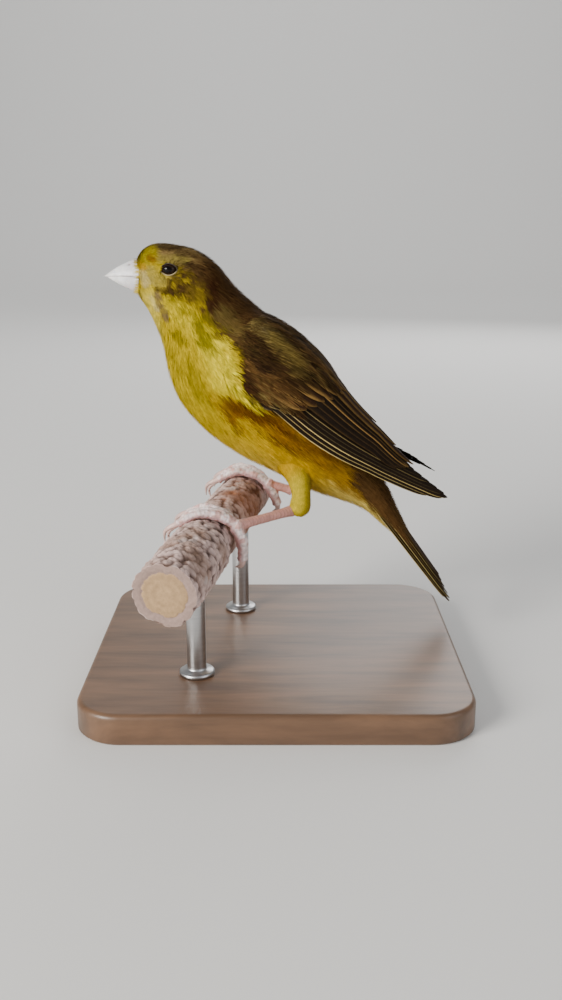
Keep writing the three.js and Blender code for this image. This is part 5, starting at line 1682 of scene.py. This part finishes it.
class MakePerch(bpy.types.Operator):
    """Make the crusted perch, worn between the feet, with its core showing at the cut end"""

    bl_idname = "canary.make_perch"
    bl_label = "Make perch"

    def execute(self, context):
        sizes, tones = context.scene.canary_sizes, colours_of(context)
        rows, columns = 420, 190
        along = np.linspace(PERCH_FRONT, PERCH_BACK, rows)[:, None]
        theta = np.linspace(0, 360, columns, endpoint=False)[None]
        angle = np.radians(theta)
        lumps = 0.5 * np.sin(3 * angle + along * 0.55) + 0.5 * np.sin(5 * angle - along * 0.83 + 1.3)
        ragged = value_noise(perch_point(along, theta, PERCH_RADIUS), 3.5, 29) - 0.5
        worn = smooth(along + 2.4 * ragged, *CRUST_STEP_AT)
        radius = PERCH_RADIUS + CRUST_STEP * (1 - worn) - 0.2 * worn + 0.16 * lumps * (1 - 0.5 * worn)
        to_back = np.minimum((PERCH_BACK - along) / PERCH_ROUNDING, 1)
        dome = np.sqrt(np.maximum(0.06, 1 - (1 - to_back) ** 2))
        base = perch_point(along, theta, radius * dome)
        bent = base + 1.0 * np.stack([value_noise(base, 2.6, 35 + k) - 0.5 for k in range(3)], -1)
        pebbles = np.clip(1 - (grain_noise(bent, 2.0, 31) / 0.8) ** 2, 0, 1) ** 0.6
        crust = 0.8 * pebbles + 0.2 * value_noise(base, 1.6, 30)
        grit = 1 - grain_noise(base, 0.9, 37)
        broad = value_noise(base, 5.0, 33)
        rough = sizes.crust_height / MM * (1 - 0.25 * worn)
        relief = rough * (1.35 * crust + 0.3 * smooth(grit, 0.1, 0.9) + 0.5 * broad - 1.15)
        feet = sum(np.exp(-(((along - foot) / 6.0) ** 2)) for foot in FOOT_PLACES.values())
        relief = np.where(relief > 0, relief * (1 - 0.8 * np.clip(feet, 0, 1)), relief)
        grid = perch_point(along, theta, (radius + relief) * dome)
        sand = tones.crust
        # painted light and shade: the crust's lumps are pale and cool on their tops as painted highlights,
        # and dark in the crevices between them as painted shade
        light = smooth(crust, 0.25, 0.9) ** 1.2 * 0.8 + smooth(grit, 0.2, 0.95) * 0.2
        colours = blend_colours(sand * [0.19, 0.14, 0.12], sand * [1.9, 2.0, 2.15], light)
        stain = value_noise(base, 6.5, 41)
        colours = blend_colours(colours, sand * [0.8, 0.72, 0.62], smooth(stain, 0.5, 0.8) * 0.6)
        bare = np.exp(-(((along + 4) / 12.0) ** 2)) * smooth(np.cos(np.radians(theta + 62)), 0.0, 0.6)
        colours = blend_colours(colours, [0.33, 0.125, 0.055], bare * (0.5 + 0.5 * stain))
        chalk = value_noise(base, 1.7, 43) * value_noise(base, 9.0, 44)
        colours = blend_colours(colours, [0.62, 0.52, 0.49], smooth(chalk, 0.36, 0.6) * 0.6)
        cut, cut_colours = self.cut_end(grid[0], tones)
        grid = np.concatenate([cut, grid])
        colours = np.concatenate([cut_colours, colours])
        points, faces = closed_tube(grid)
        colours = np.concatenate([colours.reshape(-1, 3), cut_colours[0, :1], colours[-1, :1]])
        material = Shared.material("crust", lambda: painted_material("crust", 1100.0, 0.8, 0.00025, 0.92))
        piece = new_piece("perch_crust", points, faces, material, np.clip(colours, 0, 1))
        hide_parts("perch")
        return {"FINISHED"}

    def cut_end(self, outline, tones):
        """Rings of the sawn face: a ring of crust round a wooden core with year rings."""
        middle = outline.mean(0)
        at_core = [PERCH_CORE - 0.02, PERCH_CORE, PERCH_CORE + 0.03]
        shares = np.array([0.04, 0.2, 0.34, 0.46, 0.56, 0.64, *at_core, 0.86, 0.97])
        inset = 0.25 * np.exp(-(((shares - PERCH_CORE) / 0.02) ** 2))
        rings = middle + (outline - middle)[None] * shares[:, None, None] + inset[:, None, None] * PERCH_AXIS
        wood = np.array([0.42, 0.27, 0.14])
        years = 0.82 + 0.3 * value_noise(np.stack([shares * 26, 0 * shares, 0 * shares], -1), 1.0, 51)
        tone = np.where((shares < PERCH_CORE)[:, None], wood * years[:, None], tones.crust * 0.8)
        return rings, tone[:, None] * (0.92 + 0.16 * value_noise(rings, 0.7, 52))[..., None]


class MakeStand(bpy.types.Operator):
    """Finish the base and turn the two rods with their collars"""

    bl_idname = "canary.make_stand"
    bl_label = "Make stand"

    def execute(self, context):
        tones = colours_of(context)
        wood = self.wood(tones)
        low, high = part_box("stand_base")
        base = self.board(low, high, wood)
        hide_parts("stand_base")
        steel, nodes, links, shader = base_material("brushed_rod", 0.32, Metallic=1.0, Anisotropic=0.4)
        place = nodes.new("ShaderNodeTexCoord")
        fine = add_node(nodes, "ShaderNodeTexNoise", Scale=1800.0, Detail=3.0)
        stretch = nodes.new("ShaderNodeMapping")
        stretch.inputs["Scale"].default_value = (0.1, 0.1, 1.0)
        shade = nodes.new("ShaderNodeValToRGB")
        shade.color_ramp.elements[0].color = (0.42, 0.42, 0.43, 1)
        shade.color_ramp.elements[1].color = (0.62, 0.62, 0.62, 1)
        links.new(place.outputs["Object"], stretch.inputs["Vector"])
        links.new(stretch.outputs["Vector"], fine.inputs["Vector"])
        links.new(fine.outputs["Fac"], shade.inputs["Fac"])
        links.new(shade.outputs["Color"], shader.inputs["Base Color"])
        for word in ("front", "back"):
            low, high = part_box(f"stand_rod_{word}")
            piece = self.rod(f"rod_{word}", low, high, steel)
            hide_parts(f"stand_rod_{word}")
        return {"FINISHED"}

    def wood(self, tones):
        material, nodes, links, shader = base_material(
            "oiled_wood", 0.42, Coat_Weight=0.15, Coat_Roughness=0.3
        )
        place = nodes.new("ShaderNodeTexCoord")
        stretch = nodes.new("ShaderNodeMapping")
        stretch.inputs["Scale"].default_value = (0.12, 1.0, 0.5)
        grain = add_node(
            nodes, "ShaderNodeTexNoise", Scale=190.0, Detail=7.0, Roughness=0.62, Distortion=0.35
        )
        pores = add_node(nodes, "ShaderNodeTexNoise", Scale=900.0, Detail=3.0)
        shade = nodes.new("ShaderNodeValToRGB")
        for stop, position, bright in zip(shade.color_ramp.elements, (0.3, 0.72), (0.45, 1.35)):
            stop.position = position
            stop.color = (*(tones.stand * bright), 1)
        links.new(place.outputs["Object"], stretch.inputs["Vector"])
        for noise_node in (grain, pores):
            links.new(stretch.outputs["Vector"], noise_node.inputs["Vector"])
        links.new(grain.outputs["Fac"], shade.inputs["Fac"])
        links.new(shade.outputs["Color"], shader.inputs["Base Color"])
        add_bump(material, pores.outputs["Fac"], 0.12, 0.0002)
        return material

    def board(self, low, high, material):
        """A board with round corners and softly rounded top edges."""
        half_x, half_y, tall = (high.x - low.x) / 2 / MM, (high.y - low.y) / 2 / MM, (high.z - low.z) / MM
        profile = [(0.0, 0.6), (0.6, 0.0)]
        for turn in np.linspace(0, math.pi / 2, 7):
            profile.append((tall - BOARD_EDGE * (1 - math.sin(turn)), BOARD_EDGE * (1 - math.cos(turn))))
        rings = []
        for z, inset in profile:
            ring = []
            radius = BOARD_CORNER - inset
            for quarter, (sign_x, sign_y) in enumerate(((1, 1), (-1, 1), (-1, -1), (1, -1))):
                x, y = sign_x * (half_x - BOARD_CORNER), sign_y * (half_y - BOARD_CORNER)
                for step in np.linspace(0, 90, 13):
                    angle = math.radians(quarter * 90 + step)
                    ring.append((x + radius * math.cos(angle), y + radius * math.sin(angle), z))
            rings.append(ring)
        points, faces = closed_tube(np.array(rings))
        middle = np.array([(low.x + high.x) / 2, (low.y + high.y) / 2, low.z]) / MM
        piece = new_piece("base_board", points + middle, faces, material, own_frame=False)
        flat = np.array([abs(face.normal.z) > 0.99 for face in piece.data.polygons])
        piece.data.polygons.foreach_set("use_smooth", ~flat)
        return piece

    def rod(self, name, low, high, material):
        """A straight rod with a low collar on the base."""
        radius = (high.x - low.x) / 2 / MM
        bottom, top = (low.z / MM) - 0.3, high.z / MM
        collar = [(0, 0.3), (0, 4.6), (0.9, 4.6), (1.3, 4.1), (1.5, radius + 0.25), (2.0, radius)]
        profile = [(bottom + rise, reach) for rise, reach in collar]
        profile += [(z, radius) for z in np.linspace(bottom + 2.4, top - 0.6, 12)]
        profile += [(top, radius - 0.2), (top, 0.3)]
        angle = np.linspace(0, 2 * math.pi, 64, endpoint=False)
        grid = np.array([[(r * math.cos(k), r * math.sin(k), z) for k in angle] for z, r in profile])
        points, faces = closed_tube(grid)
        middle = np.array([(low.x + high.x) / 2, (low.y + high.y) / 2, 0]) / MM
        return new_piece(name, points + middle, faces, material, own_frame=False)


class SetStage(bpy.types.Operator):
    """Set up the pale floor, the soft lights and the camera"""

    bl_idname = "canary.set_stage"
    bl_label = "Set stage"

    # name, place and aim in metres, size in metres, strength in watts, colour
    LIGHTS = [
        ("key", (-0.62, -0.55, 0.36), (0.0, 0.0, 0.07), 0.42, 12.0, (1.0, 0.97, 0.92)),
        ("fill", (0.75, -0.55, 0.45), (0.0, 0.0, 0.06), 0.8, 2.6, (0.95, 0.97, 1.0)),
        ("rim", (0.25, 0.8, 0.5), (0.0, 0.0, 0.07), 0.6, 3.0, (1.0, 1.0, 1.0)),
        ("backdrop", (0.0, 0.9, 2.0), (0.0, 2.6, 1.1), 2.0, 30.0, (1.0, 1.0, 1.0)),
    ]

    def execute(self, context):
        scene = context.scene
        pale_floor = base_material("pale_floor", 0.85, Base_Color=(0.78, 0.77, 0.75, 1))[0]
        # height and depth of the floor, which rises in a round bend to the backdrop, in metres
        bend = np.radians(np.linspace(0, 90, 17))
        profile = [(-3.0, 0.0), *zip(1.6 + np.sin(bend), 1.0 - np.cos(bend)), (2.6, 3.0)]
        points = [(x, y, z) for y, z in profile for x in (-4.0, 4.0)]
        faces = [(2 * i, 2 * i + 1, 2 * i + 3, 2 * i + 2) for i in range(len(profile) - 1)]
        mesh = bpy.data.meshes.new("floor")
        mesh.from_pydata(points, [], faces)
        mesh.polygons.foreach_set("use_smooth", np.ones(len(faces), bool))
        mesh.materials.append(pale_floor)
        floor = link(bpy.data.objects.new("floor", mesh))
        for name, place, aim, size, strength, colour in self.LIGHTS:
            lamp = bpy.data.lights.new(name, "AREA")
            lamp.shape, lamp.size, lamp.energy, lamp.color = "DISK", size, strength, colour
            obj = link(bpy.data.objects.new(name, lamp))
            obj.location = place
            obj.rotation_euler = (Vector(aim) - Vector(place)).to_track_quat("-Z", "Y").to_euler()
        world = bpy.data.worlds.new("soft_light")
        world.use_nodes = True
        background = world.node_tree.nodes["Background"]
        background.inputs["Color"].default_value = (0.86, 0.88, 0.9, 1)
        background.inputs["Strength"].default_value = 0.34
        scene.world = world
        camera = link(bpy.data.objects.new("camera", bpy.data.cameras.new("camera")))
        camera.data.lens, camera.data.sensor_width = CAMERA_LENS, SENSOR_WIDTH
        camera.data.clip_start = 0.01
        camera.location = (CAMERA_AT + PERCH_AT) * MM
        camera.rotation_euler = (math.radians(90 - CAMERA_DIP), 0, 0)
        scene.camera = camera
        return {"FINISHED"}


class CanaryPanel(bpy.types.Panel):
    """Lists the steps in the order in which the canary is made"""

    bl_idname = "VIEW3D_PT_canary"
    bl_label = "Canary"
    bl_space_type = "VIEW_3D"
    bl_region_type = "UI"
    bl_category = "Canary"

    def draw(self, context):
        for group in (context.scene.canary_sizes, context.scene.canary_colours):
            box = self.layout.box()
            for key in own_properties(group):
                box.prop(group, key)
        for step in STEPS:
            self.layout.operator(step.bl_idname)


STEPS = (
    SetStage, MakeSkin, MakeCoat, MakeWings, MakeTail, MakeBill, MakeEyes, MakeFeet, MakePerch, MakeStand,
)
CLASSES = (CanarySizes, CanaryColours, *STEPS, CanaryPanel)


def register():
    for item in CLASSES:
        bpy.utils.register_class(item)
    bpy.types.Scene.canary_sizes = PointerProperty(type=CanarySizes)
    bpy.types.Scene.canary_colours = PointerProperty(type=CanaryColours)


def unregister():
    del bpy.types.Scene.canary_colours
    del bpy.types.Scene.canary_sizes
    for item in reversed(CLASSES):
        bpy.utils.unregister_class(item)


def main():
    register()
    bpy.ops.canary.set_stage()
    bpy.ops.canary.make_skin()
    bpy.ops.canary.make_coat()
    bpy.ops.canary.make_wings()
    bpy.ops.canary.make_tail()
    bpy.ops.canary.make_bill()
    bpy.ops.canary.make_eyes()
    bpy.ops.canary.make_feet()
    bpy.ops.canary.make_perch()
    bpy.ops.canary.make_stand()


if __name__ == "__main__":
    main()
